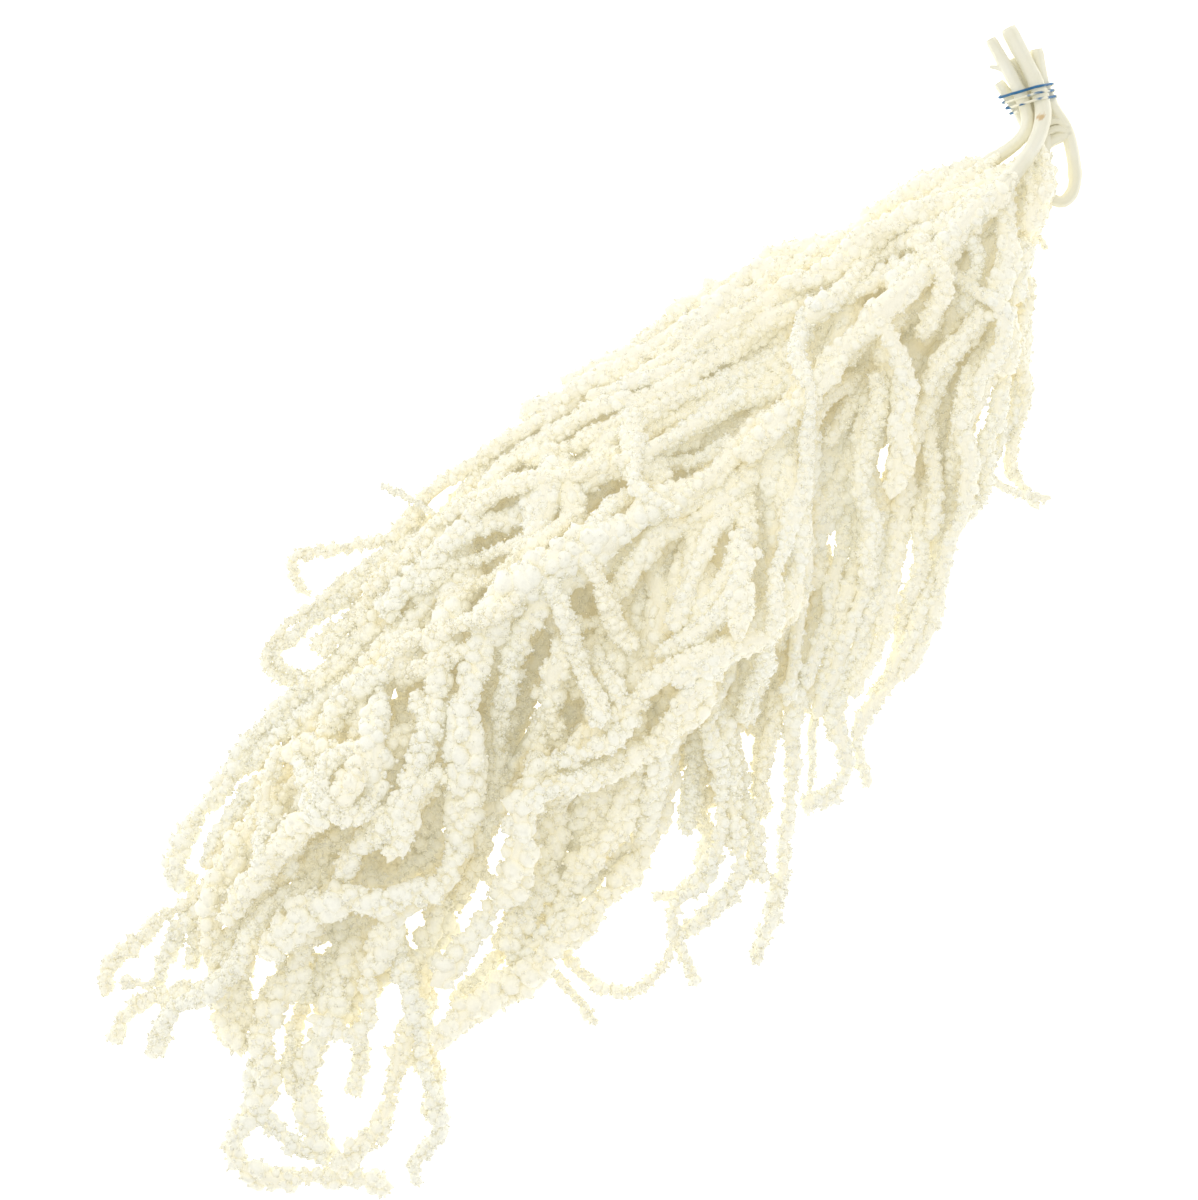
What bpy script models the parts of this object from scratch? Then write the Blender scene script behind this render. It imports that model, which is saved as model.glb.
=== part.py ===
"""A bunch of bleached, dried amaranthus: five cut stems in one blue tie, each with its head of long tassels.

The bunch lies on its side on the plane z = 0, in metres, +Z up. +X runs along the bunch from the tassels'
tips to the cut ends, and the origin is under the middle of its box. Every stem is one spray: a tapering
stem and the rope-like tassels that grow from it, fused into one solid. The sprays are laid one after
another, so each lies clear on the ones before it, and the tie is wound round all five stems.
"""

import math

import bmesh
import bpy
import numpy as np

MM = 0.001

# The layout sheet: waypoints count its steps to the right and down
STEP = 0.54 * MM
SHEET_MIDDLE = (640.6, 606.1)
BUNCH_SLOPE = math.radians(54)

# How strands lie on the heap
SUBDIVISIONS = 8
LIFTS = 4
CLEARANCE = 0.4 * MM
SQUASH = 0.88
STEM_SAG = 6.0
TASSEL_SAG = 12.0
ROOT_LENGTH = 42 * MM
ROOT_SHORTEST = 10 * MM
ROOT_SPACING = 4 * MM
TURN_COST = 3.0
ROOT_RADIUS = 1.2 * MM
BULK = 1.33
SWELL_LENGTH = 30 * MM
FLOOR_SHARE = 0.6

# How a strand is meshed
SIDES = 5
RING_SHORTEST = 11 * MM
TASSEL_RING_LONGEST = 30 * MM
STEM_RING_LONGEST = 40 * MM
CHORD_ERROR = 1.8 * MM
KNOB_SUNK = 0.78
TIP_SHARE = 0.55
FLATS_APART = 0.02 * MM

# The tie
TIE_RADIUS = 0.75 * MM
TIE_TURNS = 3.25
TIE_PITCH = 3.4 * MM
TIE_MIDDLE = (1031, 96)
TIE_GAP = 0.35 * MM
TIE_REACH = 10
TIE_BED = 17 * MM
TIE_PUSH = 0.05 * MM
TIE_PUSHES = 60
TIE_POINTS_PER_TURN = 20

BLOSSOM = (0.93, 0.89, 0.76, 1.0)
TIE_BLUE = (0.03, 0.20, 0.42, 1.0)

# Each spray, lowest first: its stem (radius at the cut end and at the far end in mm, waypoints from the cut
# end on), then its tassels in the order in which they are laid (radius near the stem and near the tip in mm,
# waypoints from the first that lies clear of the stem)
SPRAYS = {
    "spray_1": (
        (3.3, 2.2, [(1000, 80), (1008, 88), (1017, 98), (1023, 112), (1028, 130), (1040, 165), (1036, 200),
                    (1012, 240), (985, 290), (960, 345), (935, 400), (915, 455)]),
        [
            (6.5, 5.0, [(960, 300), (950, 350), (945, 400), (938, 450), (930, 500), (915, 540)]),
            (6.0, 5.0, [(1000, 262), (992, 315), (980, 360), (960, 400)]),
            (5.4, 4.3, [(1005, 225), (1010, 260), (1012, 300), (1008, 340), (1003, 385)]),
            (4.0, 2.2, [(1019, 262), (1022, 300), (1017, 335), (1024, 372), (1028, 400), (1018, 432),
                        (1009, 455), (1013, 475), (1028, 492), (1042, 510)]),
            (5.2, 4.2, [(1014, 240), (1012, 275), (1003, 310), (990, 345), (984, 378)]),
            (4.6, 3.8, [(972, 392), (958, 436), (954, 478), (948, 520), (936, 560)]),
            (2.8, 1.7, [(985, 468), (1005, 483), (1030, 494), (1053, 499)]),
            (2.8, 1.8, [(1024, 215), (1034, 232), (1044, 240), (1048, 250)]),
            (2.8, 1.6, [(1017, 252), (1025, 272), (1037, 290)]),
            (4.2, 3.6, [(1003, 395), (992, 430), (986, 460), (985, 490), (965, 508), (950, 524)]),
            (4.0, 3.0, [(930, 480), (924, 515), (917, 548), (919, 575), (911, 598), (902, 618), (899, 645),
                        (890, 680), (872, 700)]),
            (5.0, 2.6, [(992, 352), (985, 385), (965, 412), (961, 435), (970, 465), (968, 500), (952, 535), (945, 575),
                        (938, 610), (922, 645), (905, 680), (880, 702), (862, 728), (857, 750), (862, 772),
                        (870, 790)]),
        ],
    ),
    "spray_2": (
        (4.0, 2.2, [(1038, 47), (1043, 62), (1046, 76), (1047, 90), (1052, 105), (1061, 118), (1070, 132),
                    (1077, 160), (1076, 185), (1066, 200), (1050, 196), (1030, 200), (1000, 225), (965, 268),
                    (930, 320), (895, 380), (862, 440), (835, 500), (815, 560), (798, 625), (785, 690)]),
        [
            (6.8, 5.5, [(800, 545), (750, 590), (705, 650), (680, 710), (655, 775)]),
            (6.8, 5.5, [(900, 350), (905, 400), (900, 450), (885, 500), (880, 550), (870, 600), (850, 650)]),
            (6.8, 5.5, [(850, 440), (825, 500), (815, 560), (800, 620), (780, 680), (770, 740)]),
            (6.8, 5.5, [(830, 520), (790, 580), (765, 640), (740, 700), (725, 760), (703, 810)]),
            (6.8, 5.5, [(880, 400), (845, 450), (805, 520), (760, 580), (730, 640), (710, 700)]),
            (6.8, 5.5, [(940, 290), (905, 330), (870, 360), (850, 400), (830, 450)]),
            (5.8, 4.6, [(965, 238), (980, 272), (998, 298), (1008, 325), (1010, 352), (1003, 378)]),
            (4.5, 3.4, [(928, 409), (926, 440), (934, 467), (939, 490), (938, 515), (930, 540)]),
            (5.4, 4.4, [(1008, 225), (983, 252), (962, 288), (950, 322), (946, 356)]),
            (4.8, 4.0, [(1022, 206), (1022, 240), (1017, 275), (1013, 306)]),
            (4.6, 3.6, [(786, 665), (774, 705), (768, 748), (765, 790), (761, 822)]),
            (2.2, 1.6, [(818, 700), (814, 735), (812, 765), (812, 793)]),
            (4.6, 3.4, [(862, 640), (850, 680), (842, 706), (844, 735), (847, 765), (842, 788), (825, 802),
                        (800, 806)]),
            (5.4, 2.8, [(820, 620), (800, 660), (793, 700), (791, 740), (792, 780), (789, 820), (788, 860),
                        (785, 895), (775, 922), (762, 945), (753, 968)]),
            (5.0, 4.0, [(775, 640), (755, 690), (738, 735), (737, 775), (747, 808), (757, 835), (760, 860),
                        (766, 884)]),
            (5.0, 4.0, [(850, 470), (845, 500), (840, 540), (834, 580), (826, 615), (818, 650), (808, 690)]),
            (5.8, 3.2, [(985, 310), (965, 335), (948, 362), (937, 390), (925, 408), (912, 430), (903, 455),
                        (905, 485), (903, 515), (897, 548), (888, 580), (884, 610), (876, 645), (868, 675),
                        (855, 700)]),
            (6.0, 4.0, [(880, 372), (872, 400), (866, 430), (862, 468), (866, 508), (872, 545), (862, 587),
                        (855, 615), (843, 645), (836, 672), (826, 700), (815, 720)]),
        ],
    ),
    "spray_3": (
        (3.2, 2.2, [(1013, 57), (1022, 75), (1031, 94), (1038, 112), (1046, 132), (1042, 158), (1018, 190),
                    (975, 225), (915, 265), (850, 312), (785, 362), (720, 418), (655, 480), (595, 545),
                    (540, 612), (490, 680), (450, 740), (415, 800), (385, 865), (362, 930)]),
        [
            (6.8, 5.5, [(725, 450), (690, 520), (655, 585), (610, 640), (590, 700)]),
            (7.2, 5.8, [(860, 300), (820, 340), (780, 390), (745, 440), (720, 500), (700, 560), (680, 620)]),
            (7.2, 5.8, [(760, 390), (700, 440), (650, 480), (610, 530), (580, 590), (560, 650)]),
            (7.2, 5.8, [(700, 440), (690, 500), (665, 560), (650, 620), (640, 690), (625, 750), (610, 800)]),
            (7.2, 5.8, [(640, 500), (590, 530), (540, 570), (500, 620), (460, 670), (430, 730)]),
            (7.2, 5.8, [(590, 560), (580, 630), (560, 700), (545, 770), (530, 840), (510, 900)]),
            (7.2, 5.8, [(500, 670), (500, 740), (480, 810), (460, 880), (440, 950)]),
            (7.2, 5.8, [(460, 720), (400, 770), (365, 830), (335, 890), (300, 950)]),
            (7.2, 5.8, [(430, 760), (425, 840), (400, 910), (380, 970), (350, 1010)]),
            (7.2, 5.8, [(480, 690), (430, 730), (380, 760), (335, 795), (300, 840)]),
            (5.4, 4.4, [(1000, 208), (968, 232), (938, 258), (910, 285), (885, 306)]),
            (6.0, 4.8, [(318, 830), (275, 872), (250, 915), (243, 958), (250, 1000), (258, 1034)]),
            (6.0, 5.0, [(405, 840), (380, 895), (352, 942), (330, 985), (316, 1018)]),
            (3.8, 2.4, [(540, 500), (480, 515), (420, 530), (395, 548), (375, 565), (355, 582), (336, 600), (316, 613), (292, 628),
                        (275, 642), (267, 658), (275, 671), (292, 677), (308, 682)]),
            (5.0, 4.3, [(430, 620), (385, 645), (345, 665), (320, 680), (297, 694), (271, 722), (250, 742),
                        (232, 768), (212, 794), (196, 816), (183, 833), (174, 853), (172, 868), (182, 884),
                        (197, 892)]),
            (4.8, 3.2, [(360, 715), (330, 735), (300, 760), (270, 800), (245, 838), (222, 868), (198, 892), (172, 917), (154, 927),
                        (143, 940), (120, 950), (109, 962), (105, 978), (107, 998)]),
            (4.4, 3.2, [(260, 850), (230, 885), (200, 910), (172, 938), (163, 955), (161, 970), (153, 983),
                        (134, 987), (116, 984)]),
            (7.0, 5.4, [(325, 772), (283, 797), (245, 830), (218, 870), (208, 905), (210, 945), (222, 980), (228, 1012), (228, 1042),
                        (240, 1060)]),
            (4.8, 2.8, [(335, 842), (297, 870), (262, 900), (240, 940), (222, 975), (205, 988), (182, 991), (157, 1000), (133, 1014),
                        (117, 1028), (110, 1048)]),
            (4.4, 3.5, [(330, 868), (287, 898), (250, 930), (235, 965), (215, 992), (190, 1004), (170, 1016), (156, 1036),
                        (151, 1058)]),
            (6.4, 4.6, [(325, 890), (310, 940), (295, 980), (275, 1010), (262, 1045), (262, 1070), (262, 1095),
                        (248, 1115), (238, 1133), (229, 1148), (237, 1160), (255, 1170), (275, 1181),
                        (292, 1183), (312, 1181), (332, 1180), (352, 1185), (375, 1184), (394, 1190)]),
            (6.4, 5.4, [(370, 920), (350, 965), (335, 1005), (318, 1035), (305, 1065), (306, 1093), (310, 1115),
                        (313, 1135), (325, 1152), (340, 1160)]),
            (5.4, 4.0, [(597, 473), (556, 498), (528, 512), (486, 526), (444, 533), (417, 547), (400, 562),
                        (389, 590), (380, 615), (362, 640), (335, 665), (310, 684)]),
            (4.4, 3.2, [(500, 530), (450, 542), (405, 560), (388, 580), (370, 602), (352, 620), (333, 640), (320, 658)]),
            (5.6, 4.4, [(560, 530), (528, 559), (500, 576), (472, 592), (444, 610), (417, 628), (390, 650),
                        (368, 665), (342, 687), (318, 704), (292, 727), (264, 752), (248, 775)]),
            (5.8, 4.4, [(440, 900), (424, 945), (419, 978), (419, 1010), (417, 1040), (420, 1067), (432, 1080),
                        (443, 1092)]),
            (5.2, 4.2, [(415, 1000), (403, 1045), (396, 1077), (390, 1101), (384, 1120), (376, 1134),
                        (363, 1141), (353, 1152), (342, 1165), (340, 1178)]),
            (4.8, 3.8, [(425, 1050), (430, 1085), (437, 1108), (440, 1128), (433, 1147), (420, 1160),
                        (412, 1175), (420, 1192)]),
        ],
    ),
    "spray_4": (
        (3.8, 2.2, [(992, 37), (1002, 58), (1014, 78), (1024, 98), (1029, 115), (1023, 136), (1002, 154),
                    (965, 172), (915, 200), (850, 236), (780, 280), (705, 325), (630, 372), (560, 420),
                    (500, 480), (450, 550), (410, 620), (385, 690), (365, 755)]),
        [
            (6.8, 5.4, [(800, 275), (750, 320), (700, 350), (650, 390), (600, 430)]),
            (6.8, 5.4, [(700, 330), (660, 400), (620, 450), (570, 500), (520, 545)]),
            (6.8, 5.4, [(560, 420), (500, 460), (455, 515), (410, 560), (370, 600)]),
            (6.8, 5.4, [(470, 520), (440, 590), (400, 640), (370, 700), (350, 760)]),
            (6.2, 4.4, [(945, 172), (915, 190), (885, 210), (855, 235), (820, 248), (790, 249), (758, 254)]),
            (3.4, 3.0, [(847, 246), (836, 229)]),
            (6.6, 5.0, [(870, 240), (830, 258), (795, 270), (757, 273), (725, 288), (695, 303), (664, 308)]),
            (6.6, 5.0, [(760, 288), (720, 305), (685, 325), (655, 340), (625, 358), (590, 368), (562, 386)]),
            (6.0, 4.4, [(650, 358), (610, 378), (575, 392), (545, 408), (518, 417)]),
            (5.0, 1.9, [(600, 395), (560, 412), (520, 430), (486, 452), (458, 473), (430, 493), (417, 512),
                        (400, 528), (372, 540), (345, 550), (320, 553), (299, 554), (294, 564), (298, 580),
                        (311, 598)]),
            (1.7, 1.2, [(430, 512), (418, 505), (400, 496), (378, 485)]),
            (5.2, 4.0, [(850, 262), (810, 282), (770, 296), (741, 312), (713, 330), (686, 347), (658, 362),
                        (636, 375), (613, 388), (585, 398)]),
            (5.0, 3.4, [(820, 295), (786, 313), (763, 328), (724, 352), (697, 372), (674, 388), (647, 397),
                        (619, 400), (597, 409), (580, 425), (558, 437), (530, 450), (505, 470), (480, 492),
                        (450, 512), (430, 525)]),
            (5.2, 3.6, [(862, 300), (832, 328), (800, 347), (769, 363), (741, 375), (713, 386), (686, 400), (658, 412), (630, 425),
                        (613, 440), (602, 462), (580, 470), (545, 475), (515, 480), (490, 500), (460, 520)]),
            (5.8, 4.4, [(835, 348), (804, 378), (769, 397), (741, 403), (713, 413), (686, 425), (658, 447), (630, 466), (597, 475),
                        (574, 489), (547, 508), (513, 520), (486, 528), (458, 541), (430, 560), (405, 590),
                        (385, 620)]),
            (5.8, 4.4, [(530, 580), (489, 626), (456, 642), (428, 651), (400, 662), (372, 676), (347, 698),
                        (330, 730), (308, 757), (310, 788), (304, 820), (300, 850), (285, 880)]),
            (6.2, 4.8, [(440, 688), (425, 722), (400, 742), (373, 748), (334, 746), (292, 752), (270, 775), (262, 805), (268, 832),
                        (262, 857)]),
            (6.4, 5.0, [(385, 690), (378, 720), (372, 750), (376, 785), (370, 820), (358, 850), (340, 880)]),
            (5.4, 3.4, [(452, 735), (447, 768), (430, 790), (400, 812), (372, 816), (345, 802), (328, 784), (324, 764), (338, 752)]),
            (6.4, 5.0, [(385, 722), (360, 770), (330, 810), (300, 830), (275, 850), (255, 875), (238, 900), (222, 925)]),
            (5.8, 4.6, [(975, 163), (948, 176), (918, 192), (888, 208)]),
            (6.6, 5.0, [(468, 560), (455, 600), (444, 640), (438, 675), (431, 715), (428, 740), (425, 768),
                        (420, 792), (412, 815), (402, 840), (388, 862)]),
            (5.4, 4.4, [(988, 160), (962, 182), (935, 203), (905, 222), (875, 243)]),
            (5.0, 3.4, [(641, 395), (631, 425), (634, 460), (641, 486), (658, 505), (680, 520)]),
            (5.4, 4.4, [(566, 470), (566, 505), (574, 538), (588, 565), (600, 598), (615, 625), (634, 655),
                        (640, 680)]),
            (5.4, 4.4, [(535, 510), (536, 550), (545, 585), (563, 622), (586, 660), (600, 695), (606, 715)]),
        ],
    ),
    "spray_5": (
        (4.3, 2.2, [(1010, 26), (1020, 46), (1031, 68), (1040, 89), (1044, 108), (1041, 128), (1032, 150),
                    (1010, 180), (965, 232), (905, 292), (845, 352), (785, 412), (725, 478), (668, 545),
                    (615, 610), (570, 675), (530, 735), (500, 790), (478, 850), (462, 905)]),
        [
            (6.8, 5.4, [(740, 460), (700, 540), (660, 600), (610, 650), (570, 700)]),
            (6.8, 5.4, [(660, 550), (655, 620), (650, 690), (640, 740), (620, 790)]),
            (6.8, 5.4, [(590, 650), (600, 710), (605, 760), (595, 820), (570, 870), (540, 910)]),
            (5.8, 4.4, [(985, 195), (955, 202), (915, 214), (880, 234), (850, 256), (812, 276), (775, 285)]),
            (5.2, 4.0, [(950, 252), (945, 275), (938, 301), (930, 325), (925, 347)]),
            (6.6, 4.8, [(862, 312), (876, 335), (893, 360), (903, 388), (906, 410), (905, 440), (900, 468),
                        (890, 500)]),
            (4.2, 3.2, [(700, 690), (697, 730), (692, 765), (690, 790), (688, 838)]),
            (5.0, 3.6, [(727, 735), (733, 790), (738, 830), (745, 862), (742, 884), (732, 898), (718, 908),
                        (700, 919), (683, 925), (668, 938)]),
            (5.4, 2.4, [(730, 660), (718, 700), (712, 735), (714, 766), (719, 790), (720, 815), (721, 838),
                        (714, 858), (708, 875), (695, 888), (678, 903), (670, 922), (678, 943), (688, 962),
                        (698, 990)]),
            (3.2, 2.2, [(540, 930), (562, 957), (577, 976), (598, 990), (620, 998), (641, 993), (656, 975),
                        (663, 955), (671, 942)]),
            (2.8, 2.0, [(548, 968), (560, 984), (568, 998), (580, 1013), (597, 1026)]),
            (6.0, 4.8, [(640, 760), (628, 790), (622, 820), (600, 850), (580, 870), (562, 900), (548, 930)]),
            (7.6, 5.8, [(690, 695), (672, 725), (667, 758), (664, 787), (662, 811), (655, 830), (645, 852),
                        (630, 871), (613, 888), (593, 906), (577, 924), (560, 943), (540, 958), (517, 979),
                        (496, 996), (470, 1011), (455, 1022), (442, 1037), (434, 1052)]),
            (6.2, 5.0, [(617, 690), (601, 722), (580, 745), (565, 770), (560, 800), (552, 840), (545, 870), (538, 905),
                        (520, 935), (505, 955)]),
            (5.8, 4.6, [(774, 408), (752, 436), (730, 461), (702, 481), (674, 498), (650, 510), (625, 535),
                        (610, 560)]),
            (5.8, 4.6, [(756, 466), (734, 491), (708, 511), (680, 530), (658, 541), (630, 549), (612, 565)]),
            (6.2, 4.8, [(790, 395), (778, 425), (773, 470), (778, 512), (775, 553), (769, 590), (767, 628),
                        (758, 660), (751, 698), (744, 725)]),
            (5.6, 4.2, [(895, 268), (872, 291), (845, 302), (818, 312), (803, 327), (800, 353), (805, 382),
                        (808, 412), (808, 440), (803, 470), (804, 530), (804, 575), (802, 612), (794, 642),
                        (791, 684), (788, 705)]),
            (5.8, 4.6, [(573, 630), (558, 665), (547, 700), (540, 730), (533, 760)]),
            (6.8, 5.4, [(700, 690), (683, 715), (660, 735), (640, 752), (614, 757), (597, 767), (577, 777), (556, 787), (535, 790)]),
            (8.2, 6.4, [(793, 500), (793, 550), (785, 592), (765, 625), (732, 647), (700, 659), (678, 671),
                        (656, 690), (636, 709), (617, 721), (598, 726)]),
            (6.2, 4.8, [(620, 562), (572, 580), (537, 608), (518, 650), (507, 690), (500, 730), (495, 767),
                        (494, 791), (490, 820), (486, 850)]),
            (8.0, 6.0, [(540, 760), (525, 790), (519, 815), (519, 840), (515, 866), (508, 886), (500, 905),
                        (488, 925), (470, 945), (450, 962), (430, 985)]),
            (6.6, 5.2, [(400, 905), (385, 930), (370, 956), (369, 985), (366, 1014), (362, 1032), (345, 1028),
                        (325, 1022), (305, 1020)]),
            (5.4, 4.4, [(752, 455), (749, 500), (743, 550), (738, 598), (734, 640)]),
            (6.0, 4.8, [(688, 516), (655, 548), (622, 582), (598, 615)]),
            (7.8, 6.2, [(668, 498), (612, 532), (560, 560), (515, 592), (485, 630), (471, 675), (466, 707), (466, 746), (468, 770), (466, 804), (463, 830),
                        (455, 857), (445, 880), (420, 893), (392, 903), (360, 900), (334, 900), (313, 908),
                        (297, 918), (276, 936), (258, 955)]),
            (5.4, 4.4, [(1008, 192), (1012, 225), (1006, 255), (1000, 285), (990, 310)]),
            (5.0, 4.0, [(1026, 168), (1034, 188), (1035, 210), (1027, 232)]),
            (4.4, 3.6, [(1046, 160), (1049, 182), (1042, 204)]),
            (5.4, 4.2, [(1010, 176), (986, 190), (962, 207), (936, 226)]),
            (5.2, 4.2, [(928, 266), (907, 298), (892, 330), (882, 364)]),
            (6.0, 4.8, [(1004, 190), (978, 215), (948, 242), (915, 268), (885, 290)]),
            (6.0, 4.8, [(950, 250), (915, 285), (875, 318), (840, 352), (815, 378)]),
            (6.0, 4.8, [(852, 350), (812, 388), (775, 425), (742, 462)]),
        ],
    ),
}


def on_table(waypoints):
    """Waypoints of the layout sheet as plan positions in the bunch's own frame, in metres."""
    sheet = (np.array(waypoints, float) - SHEET_MIDDLE) * (STEP, -STEP)
    c, s = math.cos(BUNCH_SLOPE), math.sin(BUNCH_SLOPE)
    return sheet @ np.array([[c, -s], [s, c]])


def lengths_along(points):
    """The distance along a polyline to each of its points."""
    steps = np.linalg.norm(np.diff(points, axis=0), axis=1)
    return np.concatenate([[0.0], np.cumsum(steps)])


def averaged(values, passes):
    """The values smoothed along the line, with both ends kept."""
    for _ in range(passes):
        inner = (values[:-2] + 2 * values[1:-1] + values[2:]) / 4
        values = np.concatenate([values[:1], inner, values[-1:]])
    return values


def smooth_route(waypoints, longest):
    """A smooth plan curve through the waypoints (a Catmull-Rom spline), as points that stand closer together
    where it bends more, so the chord between two points misses the curve by about the same everywhere."""
    ends = np.vstack([2 * waypoints[0] - waypoints[1], waypoints, 2 * waypoints[-1] - waypoints[-2]])
    t = np.linspace(0, 1, 12, endpoint=False)[:, None]
    pieces = []
    for a, b, c, d in zip(ends[:-3], ends[1:-2], ends[2:-1], ends[3:]):
        pieces.append(
            0.5 * (2 * b + (c - a) * t + (2 * a - 5 * b + 4 * c - d) * t**2 + (3 * b - a - 3 * c + d) * t**3)
        )
    curve = np.vstack([*pieces, waypoints[-1:]])
    along = lengths_along(curve)
    even = np.linspace(0, along[-1], 4 * len(curve))
    x, y = (averaged(np.interp(even, along, curve[:, k]), 10) for k in range(2))
    heading = np.unwrap(np.arctan2(np.gradient(y), np.gradient(x)))
    bend = averaged(np.abs(np.gradient(heading, even)), 20)
    closeness = np.clip(np.sqrt(bend / (8 * CHORD_ERROR)), 1 / longest, 1 / RING_SHORTEST)
    passed = np.concatenate([[0.0], np.cumsum((closeness[1:] + closeness[:-1]) / 2 * np.diff(even))])
    at = np.interp(np.linspace(0, passed[-1], max(4, int(round(passed[-1])) + 1)), passed, even)
    return np.column_stack([np.interp(at, along, curve[:, 0]), np.interp(at, along, curve[:, 1])])


def divided(rows):
    """Rows of numbers with the steps between them divided evenly into finer rows."""
    rows = np.asarray(rows, float).reshape(len(rows), -1)
    at = np.linspace(0, len(rows) - 1, (len(rows) - 1) * SUBDIVISIONS + 1)
    return np.stack([np.interp(at, np.arange(len(rows)), column) for column in rows.T], axis=1)


def smoothstep(x):
    x = np.clip(x, 0, 1)
    return x * x * (3 - 2 * x)


def sagging(need, along, sag):
    """The lowest line over the needed heights that falls away from each of them on a parabola."""
    fall = sag * (along[:, None] - along[None, :]) ** 2
    return (need[None, :] - fall).max(axis=1)


def height_needed(plan, radius, others, gap, share):
    """How high each point of a new strand has to lie to rest on the strands that are there already."""
    if not others:
        return np.zeros(len(plan))
    points = np.concatenate([divided(strand[0]) for strand in others])
    radii = np.concatenate([divided(strand[1])[:, 0] for strand in others])
    reach = (radius[:, None] + radii[None, :]) * share + gap
    apart = ((plan[:, None, :] - points[None, :, :2]) ** 2).sum(axis=2)
    over = points[None, :, 2] + np.sqrt(np.maximum(reach**2 - apart, 0))
    return np.where(apart < reach**2, over, 0).max(axis=1)


def lifted(height, need):
    """The heights of a strand's rings, raised until no point between two rings lies below its need."""
    rings = height[::SUBDIVISIONS].copy()
    for _ in range(LIFTS):
        short = np.maximum(need - divided(rings)[:, 0], 0)
        around = np.pad(short, SUBDIVISIONS)
        windows = [around[k : k + len(need)] for k in range(2 * SUBDIVISIONS + 1)]
        rings += np.max(windows, axis=0)[::SUBDIVISIONS]
    return rings


def laid_stem(stem, below):
    """A stem as (points, radii): it lies stiffly on the sprays below it, and at the tie on the tie."""
    thick, thin, waypoints = stem
    rings = smooth_route(on_table(waypoints), STEM_RING_LONGEST)
    radii = np.interp(lengths_along(rings), (0, lengths_along(rings)[-1]), (thick * MM, thin * MM))
    plan, radius = divided(rings), divided(radii)[:, 0]
    need = np.maximum(FLOOR_SHARE * radius, height_needed(plan, radius, below, CLEARANCE, 1.0))
    at_tie = np.linalg.norm(plan - on_table([TIE_MIDDLE]), axis=1) < TIE_BED
    need = np.where(at_tie, np.maximum(need, radius + 2 * TIE_RADIUS + 2 * TIE_GAP), need)
    height = averaged(sagging(need, lengths_along(plan), STEM_SAG), 8)
    return np.column_stack([rings, lifted(height, need)]), radii


def root_of(route, stem, own):
    """The point of the stem that a tassel grows from: the one from which it gets to the start of its route on
    a short way and with little turning, so it leaves the stem upstream and runs along with it at first. It is
    neither the stem's tip nor a place where another tassel grows."""
    stem_line = divided(stem[0])[:-SUBDIVISIONS // 2]
    way = route[0] - stem_line[:, :2]
    length = np.hypot(np.linalg.norm(way, axis=1), ROOT_SHORTEST)
    heading = (route[1] - route[0]) / np.linalg.norm(route[1] - route[0])
    turn = 1 - way @ heading / length
    cost = length * (1 + TURN_COST * turn)
    for other in own:
        cost[np.linalg.norm(stem_line - other[0][0], axis=1) < ROOT_SPACING] = np.inf
    return stem_line[cost.argmin()]


def laid_tassel(tassel, stem, below, own):
    """A tassel as (points, radii). It swells from a thin stalk at its root, lies clear of the sprays below it
    and sinks a little into the tassels of its own spray."""
    thick, thin, waypoints = tassel
    start = on_table(waypoints)
    root = root_of(start, stem, own)
    rings = smooth_route(np.vstack([root[:2], start]), TASSEL_RING_LONGEST)
    along = lengths_along(rings)
    radii = BULK * np.interp(along, (0, along[-1]), (thick * MM, thin * MM))
    radii = ROOT_RADIUS + (radii - ROOT_RADIUS) * smoothstep(along / SWELL_LENGTH)
    plan, radius = divided(rings), divided(radii)[:, 0]
    along = lengths_along(plan)
    clear = np.maximum(FLOOR_SHARE * radius, height_needed(plan, radius, below, CLEARANCE, 1.0))
    pressed = height_needed(plan, radius, own, 0.0, SQUASH)
    free = smoothstep(along / ROOT_LENGTH)
    height = averaged(sagging(np.maximum(clear, pressed * free), along, TASSEL_SAG), 4)
    height = root[2] + (height - root[2]) * free
    clear[0] = 0
    rings = np.column_stack([rings, lifted(height, clear)])
    rings[0] = root
    return rings, radii


def laid_bunch():
    """Every spray as {name: [stem, tassel, ...]}, each strand as (points, radii), lowest spray first."""
    bunch, below = {}, []
    for name, (stem, tassels) in SPRAYS.items():
        strands = [laid_stem(stem, below)]
        for tassel in tassels:
            strands.append(laid_tassel(tassel, strands[0], below, strands[1:]))
        bunch[name] = strands
        below = below + strands
    return bunch


def frames_along(points):
    """Unit side and up vectors at each point of a line that is never upright for long."""
    tangent = np.gradient(points, axis=0)
    tangent /= np.linalg.norm(tangent, axis=1, keepdims=True)
    side = np.column_stack([tangent[:, 1], -tangent[:, 0], np.zeros(len(points))])
    side /= np.linalg.norm(side, axis=1, keepdims=True)
    return side, np.cross(side, tangent)


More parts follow.
